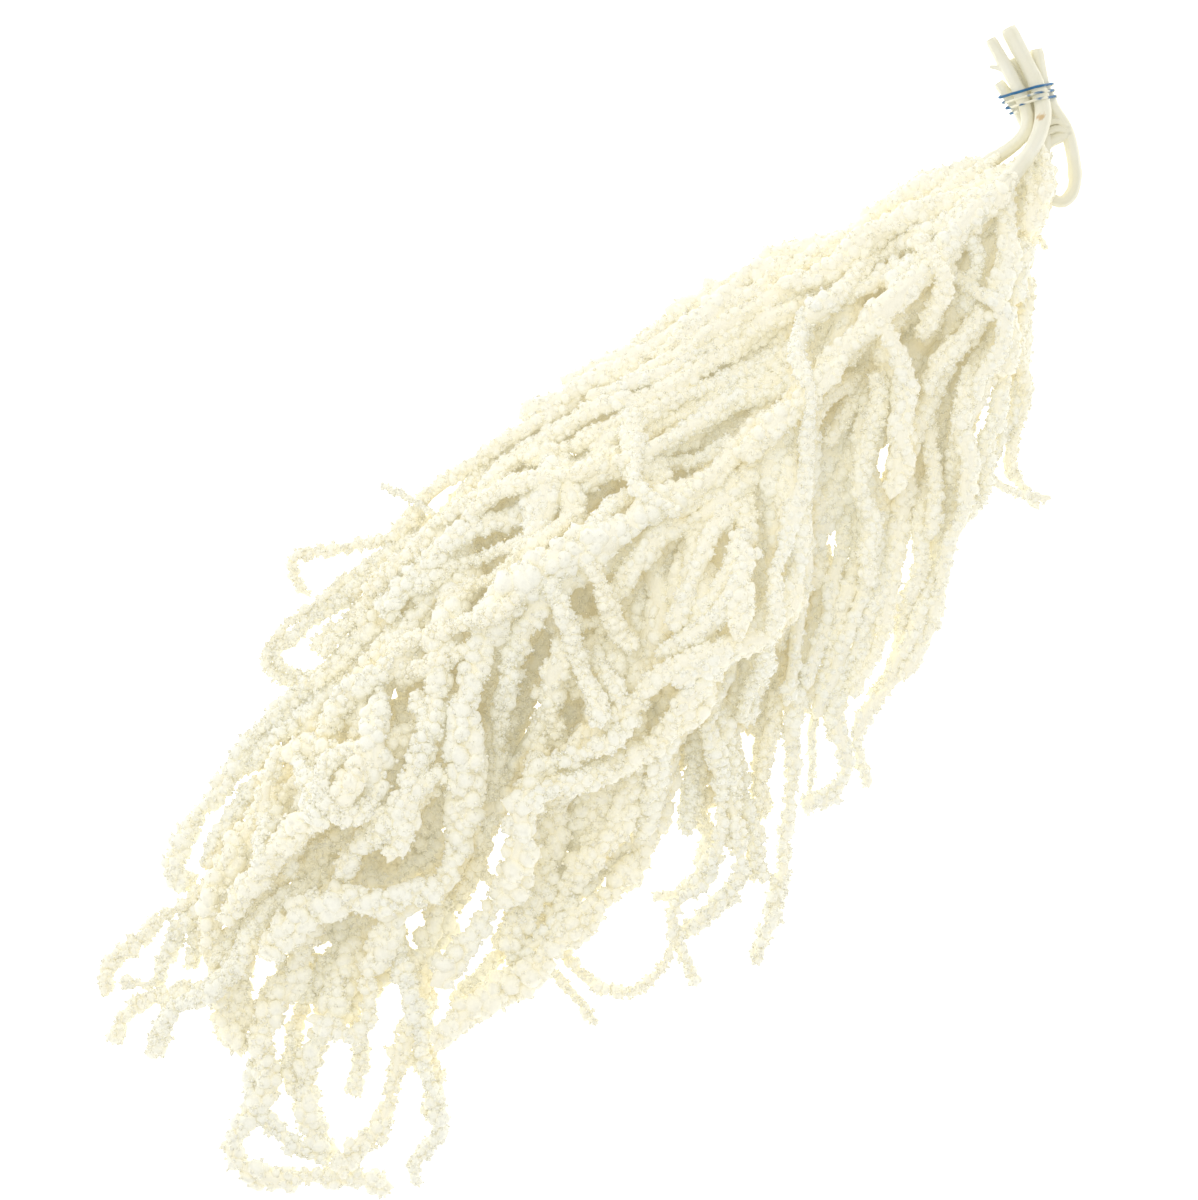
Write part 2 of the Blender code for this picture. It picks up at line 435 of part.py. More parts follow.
def tube(points, radii, sunk, lowest):
    """A closed tube as (vertices, faces). Each ring's corners stand proud and sunk by turns, and the next
    ring's the other way round, so the surface is all knobs; with sunk at 1 it is plain. A ring has a flat
    side down, and what would reach below the lowest height lies flattened on it."""
    side, up = frames_along(points)
    ring = np.arange(len(points))[:, None]
    corner = np.arange(SIDES)[None, :]
    angle = math.pi / 2 + 2 * math.pi * corner / SIDES
    proud = np.where((ring + corner) % 2 == 0, 1.0, sunk)
    reach = (radii[:, None] * proud)[:, :, None]
    around = np.cos(angle)[:, :, None] * side[:, None, :] + np.sin(angle)[:, :, None] * up[:, None, :]
    rings = points[:, None, :] + reach * around
    vertices = np.vstack([rings.reshape(-1, 3), points[:1], points[-1:]])
    vertices[:, 2] = np.maximum(vertices[:, 2], lowest)
    first, last = len(vertices) - 2, len(vertices) - 1
    faces = []
    for i in range(len(points) - 1):
        for j in range(SIDES):
            a, b = i * SIDES + j, i * SIDES + (j + 1) % SIDES
            faces.append((a, a + SIDES, b + SIDES, b))
    end = (len(points) - 1) * SIDES
    for j in range(SIDES):
        k = (j + 1) % SIDES
        faces.append((first, j, k))
        faces.append((last, end + k, end + j))
    return vertices, faces


def tassel_solid(points, radii, number):
    """A knobbly rope with a narrowed tip. No two of a spray are flattened at the same height, so their flats
    never share a plane."""
    narrowed = np.ones(len(radii))
    narrowed[-1] = TIP_SHARE
    return tube(points, radii * narrowed, KNOB_SUNK, number * FLATS_APART)


def stem_solid(points, radii):
    """A plain tapering stem, cut square at its thick end."""
    return tube(points, radii, 1.0, 0)


def material(name, colour, roughness):
    made = bpy.data.materials.new(name)
    made.use_nodes = True
    shader = made.node_tree.nodes["Principled BSDF"]
    shader.inputs["Base Color"].default_value = colour
    shader.inputs["Roughness"].default_value = roughness
    return made


def mesh_object(name, solid, collection):
    vertices, faces = solid
    mesh = bpy.data.meshes.new(name)
    mesh.from_pydata(vertices.tolist(), [], faces)
    work = bmesh.new()
    work.from_mesh(mesh)
    bmesh.ops.triangulate(work, faces=work.faces)
    bmesh.ops.recalc_face_normals(work, faces=work.faces)
    work.to_mesh(mesh)
    work.free()
    made = bpy.data.objects.new(name, mesh)
    collection.objects.link(made)
    return made


def keep_largest_shell(mesh):
    """Drops loose scraps, and fills hollows that the joining sealed, by keeping only the outer shell."""
    work = bmesh.new()
    work.from_mesh(mesh)
    left = set(work.verts)
    shells = []
    while left:
        shell = {left.pop()}
        edge = list(shell)
        while edge:
            near = {e.other_vert(v) for v in edge for e in v.link_edges}
            edge = list(near - shell)
            shell |= near
        left -= shell
        shells.append(shell)
    outer = max(shells, key=len)
    bmesh.ops.delete(work, geom=[v for v in work.verts if v not in outer], context="VERTS")
    work.to_mesh(mesh)
    work.free()


def spray(name, strands, finish):
    """One spray: its stem joined with all its tassels into a single solid."""
    whole = mesh_object(name, stem_solid(*strands[0]), bpy.context.scene.collection)
    repeats = bpy.data.collections.new(name + "_tassels")
    for number, strand in enumerate(strands[1:]):
        mesh_object(f"{name}_tassel_{number}", tassel_solid(*strand, number), repeats)
    join = whole.modifiers.new("join", "BOOLEAN")
    join.operation = "UNION"
    join.operand_type = "COLLECTION"
    join.collection = repeats
    join.solver = "MANIFOLD"
    graph = bpy.context.evaluated_depsgraph_get()
    joined = bpy.data.meshes.new_from_object(whole.evaluated_get(graph))
    whole.modifiers.clear()
    whole.data = joined
    for repeat in list(repeats.objects):
        bpy.data.objects.remove(repeat)
    bpy.data.collections.remove(repeats)
    keep_largest_shell(whole.data)
    whole.data.materials.clear()
    whole.data.materials.append(finish)
    return whole


def tie_route(stems):
    """The tie's centreline: it winds round the five stems, and at each angle it lies on the stem that stands
    out furthest that way, so between stems it runs straight, as a taut thread does."""
    middle = np.append(on_table([TIE_MIDDLE])[0], 0)
    held = []
    for stem in stems:
        points, radii = divided(stem[0]), divided(stem[1])[:, 0]
        near = int(np.linalg.norm(points[:, :2] - middle[:2], axis=1).argmin())
        reach = slice(max(0, near - TIE_REACH), near + TIE_REACH)
        held.append((points[reach][::-1], radii[reach][::-1]))
    along = np.mean([points[-1] - points[0] for points, _ in held], axis=0)
    along[2] = 0
    along /= np.linalg.norm(along)
    side = np.array([along[1], -along[0], 0.0])
    up = np.array([0.0, 0.0, 1.0])
    route = []
    for turn in np.linspace(-TIE_TURNS / 2, TIE_TURNS / 2, int(TIE_TURNS * TIE_POINTS_PER_TURN) + 1):
        angle = 2 * math.pi * turn
        outward = math.cos(angle) * side + math.sin(angle) * up
        place = turn * TIE_PITCH
        choices = []
        for points, radii in held:
            stretch = (points - middle) @ along
            centre = np.array([np.interp(place, stretch, points[:, k]) for k in range(3)])
            out = np.interp(place, stretch, radii) + TIE_GAP + TIE_RADIUS
            choices.append((centre @ outward + out, centre + outward * out))
        point = max(choices, key=lambda choice: choice[0])[1]
        for _ in range(TIE_PUSHES):
            slack = [np.linalg.norm(points - point, axis=1) - radii for points, radii in held]
            if min(part.min() for part in slack) > TIE_GAP + TIE_RADIUS:
                break
            point = point + outward * TIE_PUSH
        point[2] = max(point[2], TIE_RADIUS + TIE_PUSH)
        route.append(point)
    return np.array(route)


def tie(stems, finish):
    curve = bpy.data.curves.new("tie", "CURVE")
    curve.dimensions = "3D"
    curve.bevel_depth = TIE_RADIUS
    curve.bevel_resolution = 1
    curve.use_fill_caps = True
    line = curve.splines.new("POLY")
    route = tie_route(stems)
    line.points.add(len(route) - 1)
    for point, place in zip(line.points, route):
        point.co = (*place, 1.0)
    made = bpy.data.objects.new("tie", curve)
    made.data.materials.append(finish)
    bpy.context.scene.collection.objects.link(made)
    return made


def main():
    for old in list(bpy.data.objects):
        bpy.data.objects.remove(old)
    blossom = material("blossom", BLOSSOM, 0.85)
    tie_blue = material("tie_blue", TIE_BLUE, 0.5)
    bunch = laid_bunch()
    for name, strands in bunch.items():
        spray(name, strands, blossom)
    tie([strands[0] for strands in bunch.values()], tie_blue)


main()
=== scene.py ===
"""Looks for the bunch of bleached, dried amaranthus: knobbly tassels, bare stems, tie, light and camera.

The strands follow the same waypoints and the same laying rule as the part's solids, so each visible stem
and tassel lies where its solid lies. Every tassel is a tube over two parameters, the distance along the
strand and the angle round it, and carries ragged lumps, which carry small florets. More tassels fill the
heap below the ones that have solids, where they show through the gaps, and others cross it on top, as in the
photograph.
"""

import math

import bpy
import numpy as np
from bpy.props import FloatProperty, FloatVectorProperty, IntProperty, PointerProperty
from mathutils import Matrix


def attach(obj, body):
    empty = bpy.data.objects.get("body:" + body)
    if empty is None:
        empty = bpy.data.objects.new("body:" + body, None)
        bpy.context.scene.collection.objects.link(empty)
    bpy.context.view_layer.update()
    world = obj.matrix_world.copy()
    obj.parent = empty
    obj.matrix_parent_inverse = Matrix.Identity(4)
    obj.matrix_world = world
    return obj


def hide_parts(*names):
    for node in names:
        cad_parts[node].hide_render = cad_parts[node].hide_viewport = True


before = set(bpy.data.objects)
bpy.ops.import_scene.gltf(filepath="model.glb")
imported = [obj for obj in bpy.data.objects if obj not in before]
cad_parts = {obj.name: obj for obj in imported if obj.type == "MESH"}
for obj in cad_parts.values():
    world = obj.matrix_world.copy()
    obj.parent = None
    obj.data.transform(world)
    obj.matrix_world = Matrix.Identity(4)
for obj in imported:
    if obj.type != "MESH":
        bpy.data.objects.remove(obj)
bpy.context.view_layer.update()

bl_info = {
    "name": "Dried amaranthus bunch",
    "version": (1, 0, 0),
    "blender": (4, 5, 0),
    "location": "3D View > Sidebar > Amaranthus",
    "description": "Builds a tied bunch of bleached amaranthus lying on a pale floor",
    "category": "Add Mesh",
}

MM = 0.001

# The layout sheet: waypoints count its steps to the right and down
STEP = 0.54 * MM
SHEET_MIDDLE = (640.6, 606.1)
BUNCH_SLOPE = math.radians(54)

# How strands lie on the heap
SUBDIVISIONS = 8
LIFTS = 4
CLEARANCE = 0.4 * MM
SQUASH = 0.88
STEM_SAG = 6.0
TASSEL_SAG = 12.0
ROOT_LENGTH = 42 * MM
ROOT_SHORTEST = 10 * MM
ROOT_SPACING = 4 * MM
TURN_COST = 3.0
ROOT_RADIUS = 1.2 * MM
BULK = 1.33
SWELL_LENGTH = 30 * MM
FLOOR_SHARE = 0.6

# How far apart the points stand that carry a strand
RING_SHORTEST = 11 * MM
TASSEL_RING_LONGEST = 30 * MM
STEM_RING_LONGEST = 40 * MM
CHORD_ERROR = 1.8 * MM
FEWEST_RINGS = 4

# How finely a route's curve is drawn: steps between waypoints, and how many even steps replace each of them
CURVE_STEPS = 12
CURVE_FINER = 4

# How many times each line is averaged: a route, its bend, and the heights of a stem and of a tassel
CURVE_EVENED = 10
BEND_EVENED = 20
STEM_EVENED = 8
TASSEL_EVENED = 4

# The tie's place
TIE_RADIUS = 0.75 * MM
TIE_MIDDLE = (1031, 96)
TIE_GAP = 0.35 * MM
TIE_BED = 17 * MM

# The photograph's middle on the layout sheet
SHEET_CENTRE = (599.0, 600.0)

# How close a surface may come to the table, and the most triangles of one piece
FLOOR_SKIN = 0.15 * MM
PIECE_LIMIT = 190000

# Each spray, lowest first: its stem (radius at the cut end and at the far end in mm, waypoints from the cut
# end on), then its tassels in the order in which they are laid (radius near the stem and near the tip in mm,
# waypoints from the first that lies clear of the stem)
SPRAYS = {
    "spray_1": (
        (3.3, 2.2, [(1000, 80), (1008, 88), (1017, 98), (1023, 112), (1028, 130), (1040, 165), (1036, 200),
            (1012, 240), (985, 290), (960, 345), (935, 400), (915, 455)]),
        [
            (6.5, 5.0, [(960, 300), (950, 350), (945, 400), (938, 450), (930, 500), (915, 540)]),
            (6.0, 5.0, [(1000, 262), (992, 315), (980, 360), (960, 400)]),
            (5.4, 4.3, [(1005, 225), (1010, 260), (1012, 300), (1008, 340), (1003, 385)]),
            (4.0, 2.2, [(1019, 262), (1022, 300), (1017, 335), (1024, 372), (1028, 400), (1018, 432),
                (1009, 455), (1013, 475), (1028, 492), (1042, 510)]),
            (5.2, 4.2, [(1014, 240), (1012, 275), (1003, 310), (990, 345), (984, 378)]),
            (4.6, 3.8, [(972, 392), (958, 436), (954, 478), (948, 520), (936, 560)]),
            (2.8, 1.7, [(985, 468), (1005, 483), (1030, 494), (1053, 499)]),
            (2.8, 1.8, [(1024, 215), (1034, 232), (1044, 240), (1048, 250)]),
            (2.8, 1.6, [(1017, 252), (1025, 272), (1037, 290)]),
            (4.2, 3.6, [(1003, 395), (992, 430), (986, 460), (985, 490), (965, 508), (950, 524)]),
            (4.0, 3.0, [(930, 480), (924, 515), (917, 548), (919, 575), (911, 598), (902, 618), (899, 645),
                (890, 680), (872, 700)]),
            (5.0, 2.6, [(992, 352), (985, 385), (965, 412), (961, 435), (970, 465), (968, 500), (952, 535),
                (945, 575), (938, 610), (922, 645), (905, 680), (880, 702), (862, 728), (857, 750),
                (862, 772), (870, 790)]),
        ],
    ),
    "spray_2": (
        (4.0, 2.2, [(1038, 47), (1043, 62), (1046, 76), (1047, 90), (1052, 105), (1061, 118), (1070, 132),
            (1077, 160), (1076, 185), (1066, 200), (1050, 196), (1030, 200), (1000, 225), (965, 268),
            (930, 320), (895, 380), (862, 440), (835, 500), (815, 560), (798, 625), (785, 690)]),
        [
            (6.8, 5.5, [(800, 545), (750, 590), (705, 650), (680, 710), (655, 775)]),
            (6.8, 5.5, [(900, 350), (905, 400), (900, 450), (885, 500), (880, 550), (870, 600), (850, 650)]),
            (6.8, 5.5, [(850, 440), (825, 500), (815, 560), (800, 620), (780, 680), (770, 740)]),
            (6.8, 5.5, [(830, 520), (790, 580), (765, 640), (740, 700), (725, 760), (703, 810)]),
            (6.8, 5.5, [(880, 400), (845, 450), (805, 520), (760, 580), (730, 640), (710, 700)]),
            (6.8, 5.5, [(940, 290), (905, 330), (870, 360), (850, 400), (830, 450)]),
            (5.8, 4.6, [(965, 238), (980, 272), (998, 298), (1008, 325), (1010, 352), (1003, 378)]),
            (4.5, 3.4, [(928, 409), (926, 440), (934, 467), (939, 490), (938, 515), (930, 540)]),
            (5.4, 4.4, [(1008, 225), (983, 252), (962, 288), (950, 322), (946, 356)]),
            (4.8, 4.0, [(1022, 206), (1022, 240), (1017, 275), (1013, 306)]),
            (4.6, 3.6, [(786, 665), (774, 705), (768, 748), (765, 790), (761, 822)]),
            (2.2, 1.6, [(818, 700), (814, 735), (812, 765), (812, 793)]),
            (4.6, 3.4, [(862, 640), (850, 680), (842, 706), (844, 735), (847, 765), (842, 788), (825, 802),
                (800, 806)]),
            (5.4, 2.8, [(820, 620), (800, 660), (793, 700), (791, 740), (792, 780), (789, 820), (788, 860),
                (785, 895), (775, 922), (762, 945), (753, 968)]),
            (5.0, 4.0, [(775, 640), (755, 690), (738, 735), (737, 775), (747, 808), (757, 835), (760, 860),
                (766, 884)]),
            (5.0, 4.0, [(850, 470), (845, 500), (840, 540), (834, 580), (826, 615), (818, 650), (808, 690)]),
            (5.8, 3.2, [(985, 310), (965, 335), (948, 362), (937, 390), (925, 408), (912, 430), (903, 455),
                (905, 485), (903, 515), (897, 548), (888, 580), (884, 610), (876, 645), (868, 675),
                (855, 700)]),
            (6.0, 4.0, [(880, 372), (872, 400), (866, 430), (862, 468), (866, 508), (872, 545), (862, 587),
                (855, 615), (843, 645), (836, 672), (826, 700), (815, 720)]),
        ],
    ),
    "spray_3": (
        (3.2, 2.2, [(1013, 57), (1022, 75), (1031, 94), (1038, 112), (1046, 132), (1042, 158), (1018, 190),
            (975, 225), (915, 265), (850, 312), (785, 362), (720, 418), (655, 480), (595, 545), (540, 612),
            (490, 680), (450, 740), (415, 800), (385, 865), (362, 930)]),
        [
            (6.8, 5.5, [(725, 450), (690, 520), (655, 585), (610, 640), (590, 700)]),
            (7.2, 5.8, [(860, 300), (820, 340), (780, 390), (745, 440), (720, 500), (700, 560), (680, 620)]),
            (7.2, 5.8, [(760, 390), (700, 440), (650, 480), (610, 530), (580, 590), (560, 650)]),
            (7.2, 5.8, [(700, 440), (690, 500), (665, 560), (650, 620), (640, 690), (625, 750), (610, 800)]),
            (7.2, 5.8, [(640, 500), (590, 530), (540, 570), (500, 620), (460, 670), (430, 730)]),
            (7.2, 5.8, [(590, 560), (580, 630), (560, 700), (545, 770), (530, 840), (510, 900)]),
            (7.2, 5.8, [(500, 670), (500, 740), (480, 810), (460, 880), (440, 950)]),
            (7.2, 5.8, [(460, 720), (400, 770), (365, 830), (335, 890), (300, 950)]),
            (7.2, 5.8, [(430, 760), (425, 840), (400, 910), (380, 970), (350, 1010)]),
            (7.2, 5.8, [(480, 690), (430, 730), (380, 760), (335, 795), (300, 840)]),
            (5.4, 4.4, [(1000, 208), (968, 232), (938, 258), (910, 285), (885, 306)]),
            (6.0, 4.8, [(318, 830), (275, 872), (250, 915), (243, 958), (250, 1000), (258, 1034)]),
            (6.0, 5.0, [(405, 840), (380, 895), (352, 942), (330, 985), (316, 1018)]),
            (3.8, 2.4, [(540, 500), (480, 515), (420, 530), (395, 548), (375, 565), (355, 582), (336, 600),
                (316, 613), (292, 628), (275, 642), (267, 658), (275, 671), (292, 677), (308, 682)]),
            (5.0, 4.3, [(430, 620), (385, 645), (345, 665), (320, 680), (297, 694), (271, 722), (250, 742),
                (232, 768), (212, 794), (196, 816), (183, 833), (174, 853), (172, 868), (182, 884),
                (197, 892)]),
            (4.8, 3.2, [(360, 715), (330, 735), (300, 760), (270, 800), (245, 838), (222, 868), (198, 892),
                (172, 917), (154, 927), (143, 940), (120, 950), (109, 962), (105, 978), (107, 998)]),
            (4.4, 3.2, [(260, 850), (230, 885), (200, 910), (172, 938), (163, 955), (161, 970), (153, 983),
                (134, 987), (116, 984)]),
            (7.0, 5.4, [(325, 772), (283, 797), (245, 830), (218, 870), (208, 905), (210, 945), (222, 980),
                (228, 1012), (228, 1042), (240, 1060)]),
            (4.8, 2.8, [(335, 842), (297, 870), (262, 900), (240, 940), (222, 975), (205, 988), (182, 991),
                (157, 1000), (133, 1014), (117, 1028), (110, 1048)]),
            (4.4, 3.5, [(330, 868), (287, 898), (250, 930), (235, 965), (215, 992), (190, 1004), (170, 1016),
                (156, 1036), (151, 1058)]),
            (6.4, 4.6, [(325, 890), (310, 940), (295, 980), (275, 1010), (262, 1045), (262, 1070),
                (262, 1095), (248, 1115), (238, 1133), (229, 1148), (237, 1160), (255, 1170), (275, 1181),
                (292, 1183), (312, 1181), (332, 1180), (352, 1185), (375, 1184), (394, 1190)]),
            (6.4, 5.4, [(370, 920), (350, 965), (335, 1005), (318, 1035), (305, 1065), (306, 1093),
                (310, 1115), (313, 1135), (325, 1152), (340, 1160)]),
            (5.4, 4.0, [(597, 473), (556, 498), (528, 512), (486, 526), (444, 533), (417, 547), (400, 562),
                (389, 590), (380, 615), (362, 640), (335, 665), (310, 684)]),
            (4.4, 3.2, [(500, 530), (450, 542), (405, 560), (388, 580), (370, 602), (352, 620), (333, 640),
                (320, 658)]),
            (5.6, 4.4, [(560, 530), (528, 559), (500, 576), (472, 592), (444, 610), (417, 628), (390, 650),
                (368, 665), (342, 687), (318, 704), (292, 727), (264, 752), (248, 775)]),
            (5.8, 4.4, [(440, 900), (424, 945), (419, 978), (419, 1010), (417, 1040), (420, 1067),
                (432, 1080), (443, 1092)]),
            (5.2, 4.2, [(415, 1000), (403, 1045), (396, 1077), (390, 1101), (384, 1120), (376, 1134),
                (363, 1141), (353, 1152), (342, 1165), (340, 1178)]),
            (4.8, 3.8, [(425, 1050), (430, 1085), (437, 1108), (440, 1128), (433, 1147), (420, 1160),
                (412, 1175), (420, 1192)]),
        ],
    ),
    "spray_4": (
        (3.8, 2.2, [(992, 37), (1002, 58), (1014, 78), (1024, 98), (1029, 115), (1023, 136), (1002, 154),
            (965, 172), (915, 200), (850, 236), (780, 280), (705, 325), (630, 372), (560, 420), (500, 480),
            (450, 550), (410, 620), (385, 690), (365, 755)]),
        [
            (6.8, 5.4, [(800, 275), (750, 320), (700, 350), (650, 390), (600, 430)]),
            (6.8, 5.4, [(700, 330), (660, 400), (620, 450), (570, 500), (520, 545)]),
            (6.8, 5.4, [(560, 420), (500, 460), (455, 515), (410, 560), (370, 600)]),
            (6.8, 5.4, [(470, 520), (440, 590), (400, 640), (370, 700), (350, 760)]),
            (6.2, 4.4, [(945, 172), (915, 190), (885, 210), (855, 235), (820, 248), (790, 249), (758, 254)]),
            (3.4, 3.0, [(847, 246), (836, 229)]),
            (6.6, 5.0, [(870, 240), (830, 258), (795, 270), (757, 273), (725, 288), (695, 303), (664, 308)]),
            (6.6, 5.0, [(760, 288), (720, 305), (685, 325), (655, 340), (625, 358), (590, 368), (562, 386)]),
            (6.0, 4.4, [(650, 358), (610, 378), (575, 392), (545, 408), (518, 417)]),
            (5.0, 1.9, [(600, 395), (560, 412), (520, 430), (486, 452), (458, 473), (430, 493), (417, 512),
                (400, 528), (372, 540), (345, 550), (320, 553), (299, 554), (294, 564), (298, 580),
                (311, 598)]),
            (1.7, 1.2, [(430, 512), (418, 505), (400, 496), (378, 485)]),
            (5.2, 4.0, [(850, 262), (810, 282), (770, 296), (741, 312), (713, 330), (686, 347), (658, 362),
                (636, 375), (613, 388), (585, 398)]),
            (5.0, 3.4, [(820, 295), (786, 313), (763, 328), (724, 352), (697, 372), (674, 388), (647, 397),
                (619, 400), (597, 409), (580, 425), (558, 437), (530, 450), (505, 470), (480, 492),
                (450, 512), (430, 525)]),
            (5.2, 3.6, [(862, 300), (832, 328), (800, 347), (769, 363), (741, 375), (713, 386), (686, 400),
                (658, 412), (630, 425), (613, 440), (602, 462), (580, 470), (545, 475), (515, 480),
                (490, 500), (460, 520)]),
            (5.8, 4.4, [(835, 348), (804, 378), (769, 397), (741, 403), (713, 413), (686, 425), (658, 447),
                (630, 466), (597, 475), (574, 489), (547, 508), (513, 520), (486, 528), (458, 541),
                (430, 560), (405, 590), (385, 620)]),
            (5.8, 4.4, [(530, 580), (489, 626), (456, 642), (428, 651), (400, 662), (372, 676), (347, 698),
                (330, 730), (308, 757), (310, 788), (304, 820), (300, 850), (285, 880)]),
            (6.2, 4.8, [(440, 688), (425, 722), (400, 742), (373, 748), (334, 746), (292, 752), (270, 775),
                (262, 805), (268, 832), (262, 857)]),
            (6.4, 5.0, [(385, 690), (378, 720), (372, 750), (376, 785), (370, 820), (358, 850), (340, 880)]),
            (5.4, 3.4, [(452, 735), (447, 768), (430, 790), (400, 812), (372, 816), (345, 802), (328, 784),
                (324, 764), (338, 752)]),
            (6.4, 5.0, [(385, 722), (360, 770), (330, 810), (300, 830), (275, 850), (255, 875), (238, 900),
                (222, 925)]),
            (5.8, 4.6, [(975, 163), (948, 176), (918, 192), (888, 208)]),
            (6.6, 5.0, [(468, 560), (455, 600), (444, 640), (438, 675), (431, 715), (428, 740), (425, 768),
                (420, 792), (412, 815), (402, 840), (388, 862)]),
            (5.4, 4.4, [(988, 160), (962, 182), (935, 203), (905, 222), (875, 243)]),
            (5.0, 3.4, [(641, 395), (631, 425), (634, 460), (641, 486), (658, 505), (680, 520)]),
            (5.4, 4.4, [(566, 470), (566, 505), (574, 538), (588, 565), (600, 598), (615, 625), (634, 655),
                (640, 680)]),
            (5.4, 4.4, [(535, 510), (536, 550), (545, 585), (563, 622), (586, 660), (600, 695), (606, 715)]),
        ],
    ),
    "spray_5": (
        (4.3, 2.2, [(1010, 26), (1020, 46), (1031, 68), (1040, 89), (1044, 108), (1041, 128), (1032, 150),
            (1010, 180), (965, 232), (905, 292), (845, 352), (785, 412), (725, 478), (668, 545), (615, 610),
            (570, 675), (530, 735), (500, 790), (478, 850), (462, 905)]),
        [
            (6.8, 5.4, [(740, 460), (700, 540), (660, 600), (610, 650), (570, 700)]),
            (6.8, 5.4, [(660, 550), (655, 620), (650, 690), (640, 740), (620, 790)]),
            (6.8, 5.4, [(590, 650), (600, 710), (605, 760), (595, 820), (570, 870), (540, 910)]),
            (5.8, 4.4, [(985, 195), (955, 202), (915, 214), (880, 234), (850, 256), (812, 276), (775, 285)]),
            (5.2, 4.0, [(950, 252), (945, 275), (938, 301), (930, 325), (925, 347)]),
            (6.6, 4.8, [(862, 312), (876, 335), (893, 360), (903, 388), (906, 410), (905, 440), (900, 468),
                (890, 500)]),
            (4.2, 3.2, [(700, 690), (697, 730), (692, 765), (690, 790), (688, 838)]),
            (5.0, 3.6, [(727, 735), (733, 790), (738, 830), (745, 862), (742, 884), (732, 898), (718, 908),
                (700, 919), (683, 925), (668, 938)]),
            (5.4, 2.4, [(730, 660), (718, 700), (712, 735), (714, 766), (719, 790), (720, 815), (721, 838),
                (714, 858), (708, 875), (695, 888), (678, 903), (670, 922), (678, 943), (688, 962),
                (698, 990)]),
            (3.2, 2.2, [(540, 930), (562, 957), (577, 976), (598, 990), (620, 998), (641, 993), (656, 975),
                (663, 955), (671, 942)]),
            (2.8, 2.0, [(548, 968), (560, 984), (568, 998), (580, 1013), (597, 1026)]),
            (6.0, 4.8, [(640, 760), (628, 790), (622, 820), (600, 850), (580, 870), (562, 900), (548, 930)]),
            (7.6, 5.8, [(690, 695), (672, 725), (667, 758), (664, 787), (662, 811), (655, 830), (645, 852),
                (630, 871), (613, 888), (593, 906), (577, 924), (560, 943), (540, 958), (517, 979),
                (496, 996), (470, 1011), (455, 1022), (442, 1037), (434, 1052)]),
            (6.2, 5.0, [(617, 690), (601, 722), (580, 745), (565, 770), (560, 800), (552, 840), (545, 870),
                (538, 905), (520, 935), (505, 955)]),
            (5.8, 4.6, [(774, 408), (752, 436), (730, 461), (702, 481), (674, 498), (650, 510), (625, 535),
                (610, 560)]),
            (5.8, 4.6, [(756, 466), (734, 491), (708, 511), (680, 530), (658, 541), (630, 549), (612, 565)]),
            (6.2, 4.8, [(790, 395), (778, 425), (773, 470), (778, 512), (775, 553), (769, 590), (767, 628),
                (758, 660), (751, 698), (744, 725)]),
            (5.6, 4.2, [(895, 268), (872, 291), (845, 302), (818, 312), (803, 327), (800, 353), (805, 382),
                (808, 412), (808, 440), (803, 470), (804, 530), (804, 575), (802, 612), (794, 642),
                (791, 684), (788, 705)]),
            (5.8, 4.6, [(573, 630), (558, 665), (547, 700), (540, 730), (533, 760)]),
            (6.8, 5.4, [(700, 690), (683, 715), (660, 735), (640, 752), (614, 757), (597, 767), (577, 777),
                (556, 787), (535, 790)]),
            (8.2, 6.4, [(793, 500), (793, 550), (785, 592), (765, 625), (732, 647), (700, 659), (678, 671),
                (656, 690), (636, 709), (617, 721), (598, 726)]),
            (6.2, 4.8, [(620, 562), (572, 580), (537, 608), (518, 650), (507, 690), (500, 730), (495, 767),
                (494, 791), (490, 820), (486, 850)]),
            (8.0, 6.0, [(540, 760), (525, 790), (519, 815), (519, 840), (515, 866), (508, 886), (500, 905),
                (488, 925), (470, 945), (450, 962), (430, 985)]),
            (6.6, 5.2, [(400, 905), (385, 930), (370, 956), (369, 985), (366, 1014), (362, 1032),
                (345, 1028), (325, 1022), (305, 1020)]),
            (5.4, 4.4, [(752, 455), (749, 500), (743, 550), (738, 598), (734, 640)]),
            (6.0, 4.8, [(688, 516), (655, 548), (622, 582), (598, 615)]),
            (7.8, 6.2, [(668, 498), (612, 532), (560, 560), (515, 592), (485, 630), (471, 675), (466, 707),
                (466, 746), (468, 770), (466, 804), (463, 830), (455, 857), (445, 880), (420, 893),
                (392, 903), (360, 900), (334, 900), (313, 908), (297, 918), (276, 936), (258, 955)]),
            (5.4, 4.4, [(1008, 192), (1012, 225), (1006, 255), (1000, 285), (990, 310)]),
            (5.0, 4.0, [(1026, 168), (1034, 188), (1035, 210), (1027, 232)]),
            (4.4, 3.6, [(1046, 160), (1049, 182), (1042, 204)]),
            (5.4, 4.2, [(1010, 176), (986, 190), (962, 207), (936, 226)]),
            (5.2, 4.2, [(928, 266), (907, 298), (892, 330), (882, 364)]),
            (6.0, 4.8, [(1004, 190), (978, 215), (948, 242), (915, 268), (885, 290)]),
            (6.0, 4.8, [(950, 250), (915, 285), (875, 318), (840, 352), (815, 378)]),
            (6.0, 4.8, [(852, 350), (812, 388), (775, 425), (742, 462)]),
        ],
    ),
}


def on_table(waypoints):
    """Waypoints of the layout sheet as plan positions in the bunch's own frame, in metres."""
    sheet = (np.array(waypoints, float) - SHEET_MIDDLE) * (STEP, -STEP)
    c, s = math.cos(BUNCH_SLOPE), math.sin(BUNCH_SLOPE)
    return sheet @ np.array([[c, -s], [s, c]])


def lengths_along(points):
    """The distance along a polyline to each of its points."""
    steps = np.linalg.norm(np.diff(points, axis=0), axis=1)
    return np.concatenate([[0.0], np.cumsum(steps)])


